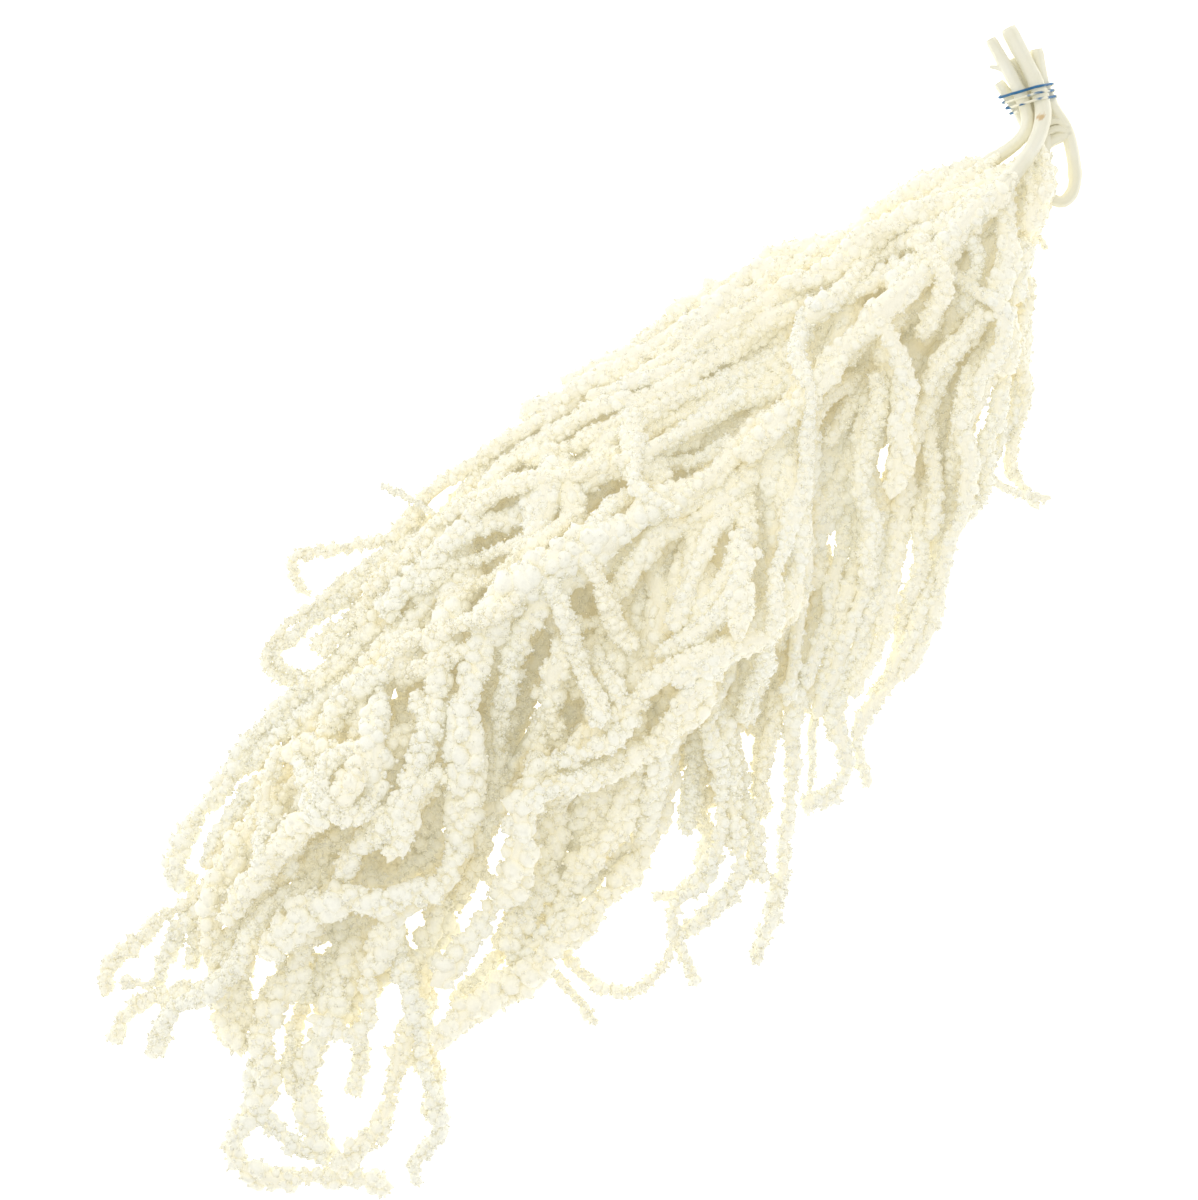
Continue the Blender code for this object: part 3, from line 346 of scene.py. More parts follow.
def averaged(values, passes):
    """The values smoothed along the line, with both ends kept."""
    for _ in range(passes):
        inner = (values[:-2] + 2 * values[1:-1] + values[2:]) / 4
        values = np.concatenate([values[:1], inner, values[-1:]])
    return values


def curve_through(rows, steps):
    """A smooth curve through the rows, with so many steps between two of them. Each piece is a cubic that
    passes through its two rows, in the direction that the rows beside each of them give."""
    ends = np.vstack([2 * rows[0] - rows[1], rows, 2 * rows[-1] - rows[-2]])
    t = np.linspace(0, 1, steps, endpoint=False)[None, :, None]
    a, b, c, d = (ends[k : k + len(rows) - 1, None, :] for k in range(4))
    curve = 0.5 * (2 * b + (c - a) * t + (2 * a - 5 * b + 4 * c - d) * t**2 + (3 * b - a - 3 * c + d) * t**3)
    return np.vstack([curve.reshape(-1, rows.shape[1]), rows[-1:]])


def smooth_route(waypoints, longest):
    """A smooth plan curve through the waypoints, as points that stand closer together where it bends more, so
    the chord between two points misses the curve by about the same everywhere."""
    curve = curve_through(waypoints, CURVE_STEPS)
    along = lengths_along(curve)
    even = np.linspace(0, along[-1], CURVE_FINER * len(curve))
    x, y = (averaged(np.interp(even, along, curve[:, k]), CURVE_EVENED) for k in range(2))
    heading = np.unwrap(np.arctan2(np.gradient(y), np.gradient(x)))
    bend = averaged(np.abs(np.gradient(heading, even)), BEND_EVENED)
    closeness = np.clip(np.sqrt(bend / (8 * CHORD_ERROR)), 1 / longest, 1 / RING_SHORTEST)
    passed = np.concatenate([[0.0], np.cumsum((closeness[1:] + closeness[:-1]) / 2 * np.diff(even))])
    rings = max(FEWEST_RINGS, int(round(passed[-1])) + 1)
    at = np.interp(np.linspace(0, passed[-1], rings), passed, even)
    return np.column_stack([np.interp(at, along, curve[:, 0]), np.interp(at, along, curve[:, 1])])


def divided(rows):
    """Rows of numbers with the steps between them divided evenly into finer rows."""
    rows = np.asarray(rows, float).reshape(len(rows), -1)
    at = np.linspace(0, len(rows) - 1, (len(rows) - 1) * SUBDIVISIONS + 1)
    return np.stack([np.interp(at, np.arange(len(rows)), column) for column in rows.T], axis=1)


def smoothstep(x):
    x = np.clip(x, 0, 1)
    return x * x * (3 - 2 * x)


def sagging(need, along, sag):
    """The lowest line over the needed heights that falls away from each of them on a parabola."""
    fall = sag * (along[:, None] - along[None, :]) ** 2
    return (need[None, :] - fall).max(axis=1)


def height_needed(plan, radius, others, gap, share):
    """How high each point of a new strand has to lie to rest on the strands that are there already."""
    if not others:
        return np.zeros(len(plan))
    points = np.concatenate([divided(strand[0]) for strand in others])
    radii = np.concatenate([divided(strand[1])[:, 0] for strand in others])
    reach = (radius[:, None] + radii[None, :]) * share + gap
    apart = ((plan[:, None, :] - points[None, :, :2]) ** 2).sum(axis=2)
    over = points[None, :, 2] + np.sqrt(np.maximum(reach**2 - apart, 0))
    return np.where(apart < reach**2, over, 0).max(axis=1)


def lifted(height, need):
    """The heights of a strand's rings, raised until no point between two rings lies below its need."""
    rings = height[::SUBDIVISIONS].copy()
    for _ in range(LIFTS):
        short = np.maximum(need - divided(rings)[:, 0], 0)
        around = np.pad(short, SUBDIVISIONS)
        windows = [around[k : k + len(need)] for k in range(2 * SUBDIVISIONS + 1)]
        rings += np.max(windows, axis=0)[::SUBDIVISIONS]
    return rings


def laid_stem(stem, below):
    """A stem as (points, radii): it lies stiffly on the sprays below it, and at the tie on the tie."""
    thick, thin, waypoints = stem
    rings = smooth_route(on_table(waypoints), STEM_RING_LONGEST)
    radii = np.interp(lengths_along(rings), (0, lengths_along(rings)[-1]), (thick * MM, thin * MM))
    plan, radius = divided(rings), divided(radii)[:, 0]
    need = np.maximum(FLOOR_SHARE * radius, height_needed(plan, radius, below, CLEARANCE, 1.0))
    at_tie = np.linalg.norm(plan - on_table([TIE_MIDDLE]), axis=1) < TIE_BED
    need = np.where(at_tie, np.maximum(need, radius + 2 * TIE_RADIUS + 2 * TIE_GAP), need)
    height = averaged(sagging(need, lengths_along(plan), STEM_SAG), STEM_EVENED)
    return np.column_stack([rings, lifted(height, need)]), radii


def root_of(route, stem, own):
    """The point of the stem that a tassel grows from: the one from which it gets to the start of its route on
    a short way and with little turning, so it leaves the stem upstream and runs along with it at first. It is
    neither the stem's tip nor a place where another tassel grows."""
    stem_line = divided(stem[0])[:-SUBDIVISIONS // 2]
    way = route[0] - stem_line[:, :2]
    length = np.hypot(np.linalg.norm(way, axis=1), ROOT_SHORTEST)
    heading = (route[1] - route[0]) / np.linalg.norm(route[1] - route[0])
    turn = 1 - way @ heading / length
    cost = length * (1 + TURN_COST * turn)
    for other in own:
        cost[np.linalg.norm(stem_line - other[0][0], axis=1) < ROOT_SPACING] = np.inf
    return stem_line[cost.argmin()]


def laid_tassel(tassel, stem, below, own):
    """A tassel as (points, radii). It swells from a thin stalk at its root, lies clear of the sprays below it
    and sinks a little into the tassels of its own spray."""
    thick, thin, waypoints = tassel
    start = on_table(waypoints)
    root = root_of(start, stem, own)
    rings = smooth_route(np.vstack([root[:2], start]), TASSEL_RING_LONGEST)
    along = lengths_along(rings)
    radii = BULK * np.interp(along, (0, along[-1]), (thick * MM, thin * MM))
    radii = ROOT_RADIUS + (radii - ROOT_RADIUS) * smoothstep(along / SWELL_LENGTH)
    plan, radius = divided(rings), divided(radii)[:, 0]
    along = lengths_along(plan)
    clear = np.maximum(FLOOR_SHARE * radius, height_needed(plan, radius, below, CLEARANCE, 1.0))
    pressed = height_needed(plan, radius, own, 0.0, SQUASH)
    free = smoothstep(along / ROOT_LENGTH)
    height = averaged(sagging(np.maximum(clear, pressed * free), along, TASSEL_SAG), TASSEL_EVENED)
    height = root[2] + (height - root[2]) * free
    clear[0] = 0
    rings = np.column_stack([rings, lifted(height, clear)])
    rings[0] = root
    return rings, radii


def laid_bunch():
    """Every spray as {name: [stem, tassel, ...]}, each strand as (points, radii), lowest spray first."""
    bunch, below = {}, []
    for name, (stem, tassels) in SPRAYS.items():
        strands = [laid_stem(stem, below)]
        for tassel in tassels:
            strands.append(laid_tassel(tassel, strands[0], below, strands[1:]))
        bunch[name] = strands
        below = below + strands
    return bunch


BUNCH = laid_bunch()


# The coat of florets that stems wear inside the heap
STEMS_BARE_FROM = 309 * MM  # where a stem enters the heap, as a place along the bunch
COAT = 2.4 * MM  # how thick the coat is
COAT_LEAD = 4 * MM  # the part of its swelling that is over where it starts
COAT_OVER = 16 * MM  # the length of its swelling
COAT_STEP = 6 * MM  # between its points

# Small woody parts below the tie, each with its stem: radius at its start and end in mm, waypoints on the
# layout sheet, height at its start and end in mm
SNAGS = {
    "spray_2": [
        (3.0, 2.6, [(1038, 128), (1048, 121), (1060, 119), (1070, 126)], 9.0, 6.5),
        (3.2, 2.8, [(1030, 152), (1042, 146), (1056, 138), (1070, 132)], 9.0, 6.0),
        (2.0, 1.8, [(1036, 140), (1048, 131), (1060, 127), (1072, 131)], 11.0, 7.0),
    ],
    "spray_4": [(1.8, 1.0, [(1007, 69), (998, 66), (991, 65)], 10.8, 10.2)],
}

# The torn hollow below the tie, a stain with a ragged edge
HOLLOW = (1041, 117)  # its place on the layout sheet
HOLLOW_RADIUS = 2.6 * MM
HOLLOW_RAGGED = 9 * MM  # how far the fibres in the skin move its edge
HOLLOW_CRISP = 600.0  # how fast the stain sets in, per metre

# The tie: the first turn is plain, and fibres cover the others in patches
BUNDLE_LINE = [(1021, 70), (1040, 125)]  # two places on the layout sheet on the bundle's line
WORN_FROM = -3.4 * MM  # where the plain turn ends, from the tie's middle on towards the tassels
WORN_CRISP = 900.0  # how fast the patches set in there, per metre
PATCH_LEVEL = 0.41  # the level of the noise from which on there is a patch
PATCH_CRISP = 14.0  # how fast a patch's edge sets in

# Tassels that lie on the table at the heap's edges and in its thin places, lowest of all: radius at the start
# and at the tip in mm, waypoints on the layout sheet
FRINGE = [
    (6.0, 5.5, [(285, 790), (250, 840), (215, 893), (197, 935), (186, 972)]),
    (6.5, 5.5, [(330, 850), (290, 900), (250, 950), (236, 1000), (226, 1046)]),
    (6.5, 5.5, [(350, 880), (310, 940), (277, 985), (262, 1030), (268, 1078)]),
    (6.5, 5.0, [(365, 850), (345, 915), (331, 968), (350, 1012), (362, 1055), (352, 1100)]),
    (6.0, 5.0, [(320, 960), (302, 1010), (288, 1060), (303, 1105), (328, 1140)]),
    (5.5, 4.5, [(262, 1050), (246, 1088), (262, 1120), (290, 1148), (332, 1164)]),
    (6.5, 5.0, [(330, 700), (285, 750), (245, 800), (216, 838), (203, 872)]),
    (6.5, 4.5, [(470, 535), (425, 566), (380, 597), (340, 625), (312, 652)]),
    (6.0, 4.5, [(460, 510), (415, 541), (372, 566), (328, 604)]),
    (6.0, 4.5, [(1003, 290), (985, 340), (974, 395), (962, 450), (954, 510), (941, 556)]),
    (5.5, 4.5, [(1010, 280), (1017, 330), (1018, 385), (1006, 432), (990, 470)]),
    (6.0, 5.0, [(968, 470), (950, 540), (926, 600), (903, 655), (880, 702)]),
    (5.5, 4.5, [(770, 560), (765, 640), (768, 705), (759, 760), (752, 800)]),
    (5.5, 4.5, [(850, 560), (838, 640), (832, 700), (838, 742)]),
    (5.0, 3.6, [(690, 740), (700, 800), (706, 850), (684, 888), (652, 902)]),
    (6.0, 5.0, [(800, 262), (740, 290), (676, 322), (630, 352)]),
    (6.0, 5.0, [(700, 352), (640, 385), (588, 408), (540, 430)]),
    (5.5, 4.5, [(560, 440), (505, 468), (462, 497), (420, 530)]),
    (5.5, 4.5, [(620, 850), (560, 905), (505, 950), (452, 1008)]),
    (5.5, 4.0, [(430, 940), (415, 985), (428, 1040), (436, 1085), (426, 1120)]),
]

# Tassels that lie uppermost, over the ones that have solids, written the same way
UPPERMOST = [
    (4.7, 4.6, [(804, 313), (800, 336), (802, 362), (806, 388), (808, 414), (806, 454), (797, 500),
        (784, 535), (776, 570), (775, 602), (776, 629), (766, 656), (756, 688), (742, 720)]),
    (7.0, 6.0, [(862, 312), (882, 328), (894, 351), (903, 378), (905, 400), (900, 420), (903, 441),
        (914, 468)]),
    (5.5, 5.0, [(876, 373), (880, 405), (869, 436), (865, 463), (865, 494), (876, 524), (869, 548),
        (864, 586)]),
    (5.4, 4.8, [(914, 238), (930, 257), (941, 279), (939, 301), (928, 328), (922, 342)]),
    (6.2, 5.2, [(984, 312), (968, 331), (950, 355), (937, 373), (927, 396)]),
    (5.0, 4.6, [(954, 274), (981, 290), (1001, 308), (1006, 331), (995, 360), (979, 378), (977, 402)]),
    (6.0, 5.6, [(571, 535), (581, 556), (597, 583), (610, 609), (624, 636), (636, 658)]),
    (5.8, 5.4, [(548, 580), (562, 613), (570, 640), (581, 663), (593, 687), (601, 712), (590, 727)]),
    (6.2, 5.4, [(745, 504), (717, 531), (704, 560), (694, 585), (684, 613), (668, 630)]),
    (5.6, 5.0, [(750, 550), (723, 601), (704, 624), (675, 644), (656, 660)]),
    (4.4, 4.2, [(640, 434), (636, 455), (634, 471), (640, 489), (660, 501), (680, 517)]),
    (5.6, 5.0, [(581, 511), (554, 531), (523, 556), (503, 574), (470, 583), (445, 601)]),
]

# Tassels that lie between the uppermost ones, a little lower
BETWEEN = [
    (5.6, 5.2, [(518, 636), (509, 662), (504, 687), (500, 710), (499, 733), (498, 756), (497, 778),
        (497, 824)]),
    (5.4, 5.0, [(541, 576), (518, 599), (495, 618), (470, 627), (440, 634), (414, 641), (386, 652)]),
    (5.6, 5.0, [(490, 636), (467, 650), (445, 657), (426, 664), (408, 674), (394, 682)]),
    (6.0, 5.4, [(414, 698), (424, 712), (426, 730), (419, 755), (412, 772), (405, 790)]),
    (5.6, 5.2, [(541, 687), (548, 700), (553, 718), (556, 737), (556, 755)]),
    (5.4, 5.0, [(593, 652), (603, 664), (611, 678), (618, 694), (620, 711)]),
    (7.0, 6.0, [(633, 712), (615, 730), (594, 744), (571, 755), (548, 760), (525, 768)]),
    (7.2, 6.4, [(667, 730), (664, 752), (661, 775), (655, 798), (648, 820), (638, 842)]),
    (6.2, 5.4, [(621, 765), (604, 771), (587, 777), (562, 782), (541, 790), (527, 810)]),
    (5.6, 5.0, [(556, 528), (532, 540), (508, 548), (484, 556), (460, 566), (436, 577), (414, 588)]),
    (5.4, 5.0, [(668, 474), (646, 482), (628, 492), (610, 503), (596, 516), (588, 534)]),
    (5.6, 5.0, [(742, 532), (733, 556), (727, 580), (716, 603), (702, 622), (688, 636)]),
    (6.0, 5.4, [(716, 668), (700, 683), (686, 700), (672, 718), (664, 738)]),
    (7.0, 6.2, [(443, 770), (414, 785), (399, 812), (380, 835), (351, 860), (342, 879)]),
    (5.2, 4.6, [(378, 782), (373, 800), (358, 812), (338, 808), (325, 793), (325, 773), (338, 758),
        (356, 756)]),
    (6.0, 5.4, [(294, 747), (305, 762), (313, 785), (313, 812), (323, 831)]),
    (5.6, 5.0, [(275, 812), (267, 831), (261, 850), (262, 870)]),
    (5.6, 5.0, [(745, 391), (704, 419), (670, 437), (642, 451), (612, 462)]),
    (5.6, 5.0, [(735, 443), (699, 460), (670, 466), (647, 471), (622, 480)]),
    (5.4, 5.0, [(619, 451), (587, 474), (548, 481), (520, 487), (492, 500), (466, 516)]),
    (5.4, 4.8, [(658, 405), (624, 419), (598, 431), (570, 443), (545, 452), (520, 462)]),
    (5.8, 5.0, [(958, 227), (930, 233), (905, 240), (884, 254), (866, 268), (848, 284), (833, 300)]),
    (5.6, 5.0, [(872, 366), (852, 382), (836, 396), (820, 410), (808, 430)]),
    (5.6, 5.0, [(992, 344), (980, 362), (972, 380), (966, 405), (960, 430)]),
    (5.4, 4.8, [(968, 238), (978, 256), (974, 276), (964, 296), (958, 318)]),
]

# How the last two lists lie on the heap. The shares are of a tassel's radius.
UPPERMOST_OVER = 0.3  # share by which an uppermost one lies over the peaks below it
BETWEEN_OVER = -0.4  # and one between them
OUT_FROM = 1.5  # share by which its start lies lower
OUT_OVER = 28 * MM  # the length over which it comes out of the heap
OUT_STEP = 4 * MM  # between its points
PEAK_REACH = 3  # points on each side among which the highest peak counts
EVEN_REACH = 4  # points on each side over which the peaks are averaged

# How high the middle of a strand lies on the table, as a share of its radius, in sight and inside the heap
LYING = 0.95
INNER_LYING = 0.85

# The heap's top, as a grid of heights over the table
HEAP_CELL = 3 * MM  # a cell's side
HEAP_HALF = (410 * MM, 210 * MM)  # the grid's half size
HEAP_STEP = 2 * MM  # between the points of a strand that are entered

# Curves through the points of a strand
SPLINE_STEPS = 16  # from one of its points to the next
FEWEST_POINTS = 8

# A tassel's tube
AROUND = 8  # corners round it
USUAL = 70  # percentile of its radii that is its usual radius
ROOT_SETTLED = 20 * MM  # the length at its root over which it starts to sway
TIP_SETTLED = 6 * MM  # the length at its tip over which it stops
SWAY_SPELL = 9 * MM  # how long one sway is
SWAY_UP = 0.4  # share of the sway in height
SWELL_SPELL = 4 * MM  # how long one swelling is
SWELL_OVER = 15 * MM  # the length at its root over which it starts to swell
SWELL_RANGE = (0.62, 1.3)
TIP_LENGTH = 1.3  # of its round tip, as a share of the radius
TIP_THIN = 0.05  # the last radius, as a share of the radius
ROUGH = 0.1  # how far its points stray in and out, as a share of the radius
ROUGHER = 0.14  # how much further where it has no lumps
BARE_CORE = 0.88  # its radius where it has no lumps, as a share of the tassel's

# How deep below the heap's top the lumps carry all their florets, then a few, then none, and where they end
FLORETS_DOWN_TO = 15 * MM
FEW_FLORETS_DOWN_TO = 34 * MM
FEW_FLORETS = 2
LUMPS_DOWN_TO = 80 * MM
BARED_OVER = 5 * MM  # the further depth over which the tube gets its bare radius

# Lumps
SMALLEST_LUMP = 2.7 * MM  # usual radius of a thin tassel's lumps
LARGEST_LUMP = 4.8 * MM  # and of a thick one's
LUMP_SHARE = 0.8  # the most that this may be, as a share of the tassel's usual radius
LUMP_SIZES = (0.6, 1.42)  # how uneven the radii are
LUMP_SPACINGS = (0.85, 1.15)  # how uneven the distances are from tassel to tassel
LUMPS_OUT = 1.05  # how far out a usual lump reaches, as a share of the tassel's radius
ROWS_APART = 0.87  # distance between rows along the tube, as a share of the lumps' distance
ASTRAY_ALONG = 0.45  # how far a lump strays along the tube, as a share of the rows' distance
ASTRAY_ROUND = 0.4  # and round it, as a share of the distance in a row
FEWEST_ROWS = 3  # also the fewest lumps in a row
FULL_ROWS = 1.5  # a tube keeps all its lumps down to its usual radius divided by this
UNDERSIDE = -0.45  # the height on a round of radius 1 below which a lump is underneath
UNDERSIDE_SHARE = 0.3  # share of the lumps that is kept there
THIN_SHARES = (0.4, 1.05)  # limits of a lump's size where the tube is thin or thick
RAGGED = 0.2  # how far the points of a lump or floret stray from a ball
OUT_OF_ROUND = (0.82, 1.18)
FLOOR_SINK = 0.02  # what is left of a depth below the table

# Florets
FLORETS_ABOVE = -0.3  # the height on a lump of radius 1 from which on it carries them
FLORET_SIZES = (0.7, 1.35)
FLORET_LEAST = 0.6  # their least size on small lumps, as a share of the usual one

# The crown, from 0 in the furrows to 1 on the tops, sets the painted shade of the florets: the lower it is,
# the more the colour turns to the furrow shade cream
TUBE_CROWN = 0.25
LUMP_CROWN = (0, 1)  # at a lump's foot and top
FLORET_CROWN = (0.4, 0.9)
CROWN_HEIGHTS = (-0.45, 0.85)  # where foot and top are, on a ball of radius 1

# Tassels are knobblier away from the stems. The shares say by how much.
KNOBBLY_FROM = 60 * MM  # a place along the bunch
KNOBBLY_OVER = 200 * MM
KNOBBLY_SLIMMER = 0.24  # of their tubes
KNOBBLY_UNEVEN = 0.5  # more swelling
KNOBBLY_LARGER = 0.16  # lumps
KNOBBLY_FLORETS = 0.45  # larger florets

# From which depth on the florets get painted shade, a warmer and darker cream, and over which further depth
# it sets in fully
DEEP_SHADE_FROM = 6 * MM
DEEP_SHADE_OVER = 15 * MM

# Thick tassels of the solids are shown as two thinner ones. The shares are of the thick one's radius.
PARTED_FROM = 7.4 * MM  # the radius from which on
PARTED_UP_TO = -10 * MM  # how far from the stems their middle may be, as a place along the bunch
PARTED_BULK = 0.68  # radius of each
PARTED_ASIDE = 0.46  # their distance sideways
PARTED_UP = 0.22  # and in height
PARTED_TURN = 190 * MM  # the length of a turn round each other
PARTED_LOOSE = 0.7  # how far a turn strays, in radians
PARTED_SPELL = 30 * MM  # how long it strays one way
PARTED_OVER = 50 * MM  # the length over which they part
PARTED_SHORTER = (0.8, 0.95)  # length of the shorter one, as a share of the other's
PARTED_STEP = 6 * MM  # between their points
PARTED_SEED = 3000

# Tassels that fill the heap beside others. The shares are of the radius of the one that each follows.
INNER_BESIDE = 1.15
INNER_BELOW = 0.55
INNER_BULK = 0.8  # their own radius
INNER_BARED = 3 * MM  # how far out of the heap they may reach
INNER_SHORTEST = 110 * MM
INNER_OVER = 20 * MM  # the length over which they swell and taper
INNER_END = 0.75  # how thick they end, as a share of their own radius
INNER_STEP = 4 * MM  # between their points

# The heap's core: its middle line on the layout sheet with its half width there, and its tassels
CORE = [(1042, 146, 6), (1022, 190, 28), (950, 255, 52), (860, 332, 80), (760, 425, 98), (660, 520, 115),
        (560, 620, 130), (460, 730, 138), (380, 830, 122), (305, 905, 70)]
CORE_LAYERS = (0.22, 0.5)  # the height of each layer, as a share of the heap's
CORE_SPACING = 13.5 * MM
CORE_RADIUS = 6.3 * MM
CORE_THICK = (0.85, 1.15)  # how uneven the radii are
CORE_LEAD = 25 * MM  # the part of their swelling that is over where they start
CORE_OVER = 60 * MM  # the length of their swelling, and of the growth of their wandering
CORE_ASIDE = 3.5 * MM  # how far they wander sideways
CORE_ASIDE_SPELL = 22 * MM
CORE_UP = 2 * MM  # and in height
CORE_UP_SPELL = 25 * MM
CORE_STARTS = 4  # points before which they start
CORE_ENDS = (0.8, 1.0)  # where they end, as a share of the core's length
CORE_EVENED = 9  # points over which the heap's height is averaged
CORE_STEP = 5 * MM  # between their points
CORE_SEED = 11

# A stem's relief, as shares of its radius
STEM_AROUND = 21  # corners round it
STEM_SEED = 900
RIBS = 7  # round it
RIB_SHARE = 0.6  # of the relief
FLATS = 3  # round it
FLAT_SHARE = 0.4
RIB_RELIEF = 0.065  # of ribs and flats together
TWIST = 0.012  # how far they turn from point to point, in radians
TWIST_SPELL = 12 * MM
FIRST_JOINT = 21 * MM  # from the cut end
JOINT_SHIFT = 0.4 * MM  # further on from stem to stem
JOINTS_APART = 43 * MM
JOINT_LENGTH = 2.6 * MM
JOINT_RELIEF = 0.16
UNEVEN = 0.05
UNEVEN_SPELL = 5 * MM
COARSE = 0.07 * MM  # how far single points stray
BEVEL = 0.7 * MM  # the length of the blunt edge at the cut
BEVEL_IN = 0.14

# The stage, in metres
FLOOR_HALF = 6.0  # half width of the floor
FLOOR_GREYS = (0.93, 0.95)
WHITE = (1.0, 1.0, 1.0, 1.0)
LAMP_SIZE = 1.6
LAMP_PLACE = (-0.35, 0.5, 1.5)  # right of the view's middle, above it in the picture and over the table
SENSOR = 36.0  # in mm
CLIP_END = 50.0


def heap_heights(sprays):
    """The height of the highest strand over every cell of the grid, 0 where the table is bare."""
    shape = tuple(int(2 * half / HEAP_CELL) + 1 for half in HEAP_HALF)
    heights = np.zeros(shape)
    for strands in sprays.values():
        for points, radii in strands:
            middle, radius, _ = through(points, radii, HEAP_STEP)
            reach = int(radius.max() / HEAP_CELL) + 1
            near = np.arange(-reach, reach + 1)
            near = np.stack(np.meshgrid(near, near, indexing="ij"), axis=-1)
            cells = heap_cell(middle)[:, None, None, :] + near
            places = cells * HEAP_CELL - HEAP_HALF
            apart = ((places - middle[:, None, None, :2]) ** 2).sum(axis=-1)
            inside = radius[:, None, None] ** 2 - apart
            top = np.where(inside > 0, middle[:, 2, None, None] + np.sqrt(np.maximum(inside, 0)), 0)
            np.maximum.at(heights, (cells[..., 0], cells[..., 1]), top)
    return heights


def heap_cell(points):
    """The grid cell of every point, by its place on the table."""
    return np.rint((points[..., :2] + HEAP_HALF) / HEAP_CELL).astype(int)


def heap_top(points, heights):
    """The height of the heap's top above every point's place on the table."""
    cells = np.clip(heap_cell(points), 0, np.array(heights.shape) - 1)
    return heights[cells[..., 0], cells[..., 1]]


# Surfaces


def through(points, values, spacing):
    """A smooth curve through the points at even steps, as its points, the values on it and the distances
    along it."""
    curve = curve_through(np.column_stack([points, values]), SPLINE_STEPS)
    along = lengths_along(curve[:, :3])
    at = np.linspace(0, along[-1], max(FEWEST_POINTS, int(round(along[-1] / spacing)) + 1))
    even = read_at(at, along, curve)
    return even[:, :3], even[:, 3], at


def read_at(places, along, columns):
    """Every column of a table by linear interpolation at the places, an array of any shape."""
    return np.stack([np.interp(places, along, column) for column in columns.T], axis=-1)


def wandering(rng, count, spacing, length):
    """Smooth random values along a line: white noise averaged over the given length, scaled to one."""
    width = max(2.0, length / spacing)
    reach = int(3 * width)
    kernel = np.exp(-0.5 * (np.arange(-reach, reach + 1) / width) ** 2)
    values = np.convolve(rng.normal(size=count + 2 * reach), kernel / np.sqrt((kernel**2).sum()), "valid")
    return values[:count]


def unit(vectors):
    """The vectors at length 1."""
    return vectors / np.linalg.norm(vectors, axis=1, keepdims=True)


def frames_along(points):
    """Unit side and up vectors at each point of a line that is never upright for long."""
    tangent = unit(np.gradient(points, axis=0))
    side = np.column_stack([tangent[:, 1], -tangent[:, 0], np.zeros(len(points))])
    side /= np.maximum(np.linalg.norm(side, axis=1, keepdims=True), 1e-9)
    return side, np.cross(side, tangent)


def carried(points, reach, around):
    """A profile carried along a path: ring i stands on point i, and its corner j lies at the angle
    2 pi j / around from the side vector towards the up vector, reach[i, j] out. Each end closes on one
    point."""
    side, up = frames_along(points)
    angle = 2 * math.pi * np.arange(around) / around
    out = np.cos(angle)[None, :, None] * side[:, None, :] + np.sin(angle)[None, :, None] * up[:, None, :]
    rings = points[:, None, :] + reach[:, :, None] * out
    return np.vstack([rings.reshape(-1, 3), points[:1], points[-1:]])


def grid_faces(count, around):
    """The quads of a closed tube of count rings, and the triangles of its two ends."""
    i = np.arange(count - 1)[:, None] * around
    j = np.arange(around)[None, :]
    k = (j + 1) % around
    quads = np.stack([i + j, i + around + j, i + around + k, i + k], axis=-1).reshape(-1, 4)
    last = (count - 1) * around
    j, k = j[0], k[0]
    start = np.stack([np.full(around, count * around), j, k], axis=-1)
    end = np.stack([np.full(around, count * around + 1), last + k, last + j], axis=-1)
    return quads, np.vstack([start, end])


def ball(heights, around):
    """A unit ball over two parameters, height and turn: a ring of points stands at each height, the second
    one half a step further round, and a pole at each end. Returns its points and triangles."""
    ring, corner = np.arange(len(heights))[:, None], np.arange(around)[None, :]
    angle = 2 * math.pi * (corner + 0.5 * (ring % 2)) / around
    level = np.array(heights)[:, None] + 0 * angle
    out = np.sqrt(1 - level**2)
    points = np.stack([out * np.cos(angle), out * np.sin(angle), level], axis=-1).reshape(-1, 3)
    points = np.vstack([points, (0, 0, -1), (0, 0, 1)])
    j = np.arange(around)
    k = (j + 1) % around
    low, high, top = 0 * j + len(points) - 2, 0 * j + len(points) - 1, (len(heights) - 1) * around
    faces = [np.stack([low, k, j], axis=-1), np.stack([high, top + j, top + k], axis=-1)]
    if len(heights) == 2:
        faces += [np.stack([j, k, j + around], axis=-1), np.stack([k, k + around, j + around], axis=-1)]
    return points, np.vstack(faces)


def copies(shape, seats, normals, sizes, rng):
    """One copy of a shape on every seat, with its pole along the normal there, turned at random about it and
    a little out of round: the vertices by copy, and all triangles."""
    corners, faces = shape
    count = len(seats)
    across = unit(np.cross(normals, rng.normal(size=(count, 3))))
    axes = np.stack([across, np.cross(normals, across), normals], axis=1)
    stretch = rng.uniform(*OUT_OF_ROUND, (count, 1, 3))
    ragged = sizes[:, None] * rng.uniform(1 - RAGGED, 1 + RAGGED, (count, len(corners)))
    placed = seats[:, None, :] + (corners[None] * stretch * ragged[:, :, None]) @ axes
    triangles = faces[None] + np.arange(count)[:, None, None] * len(corners)
    return placed, triangles.reshape(-1, 3)


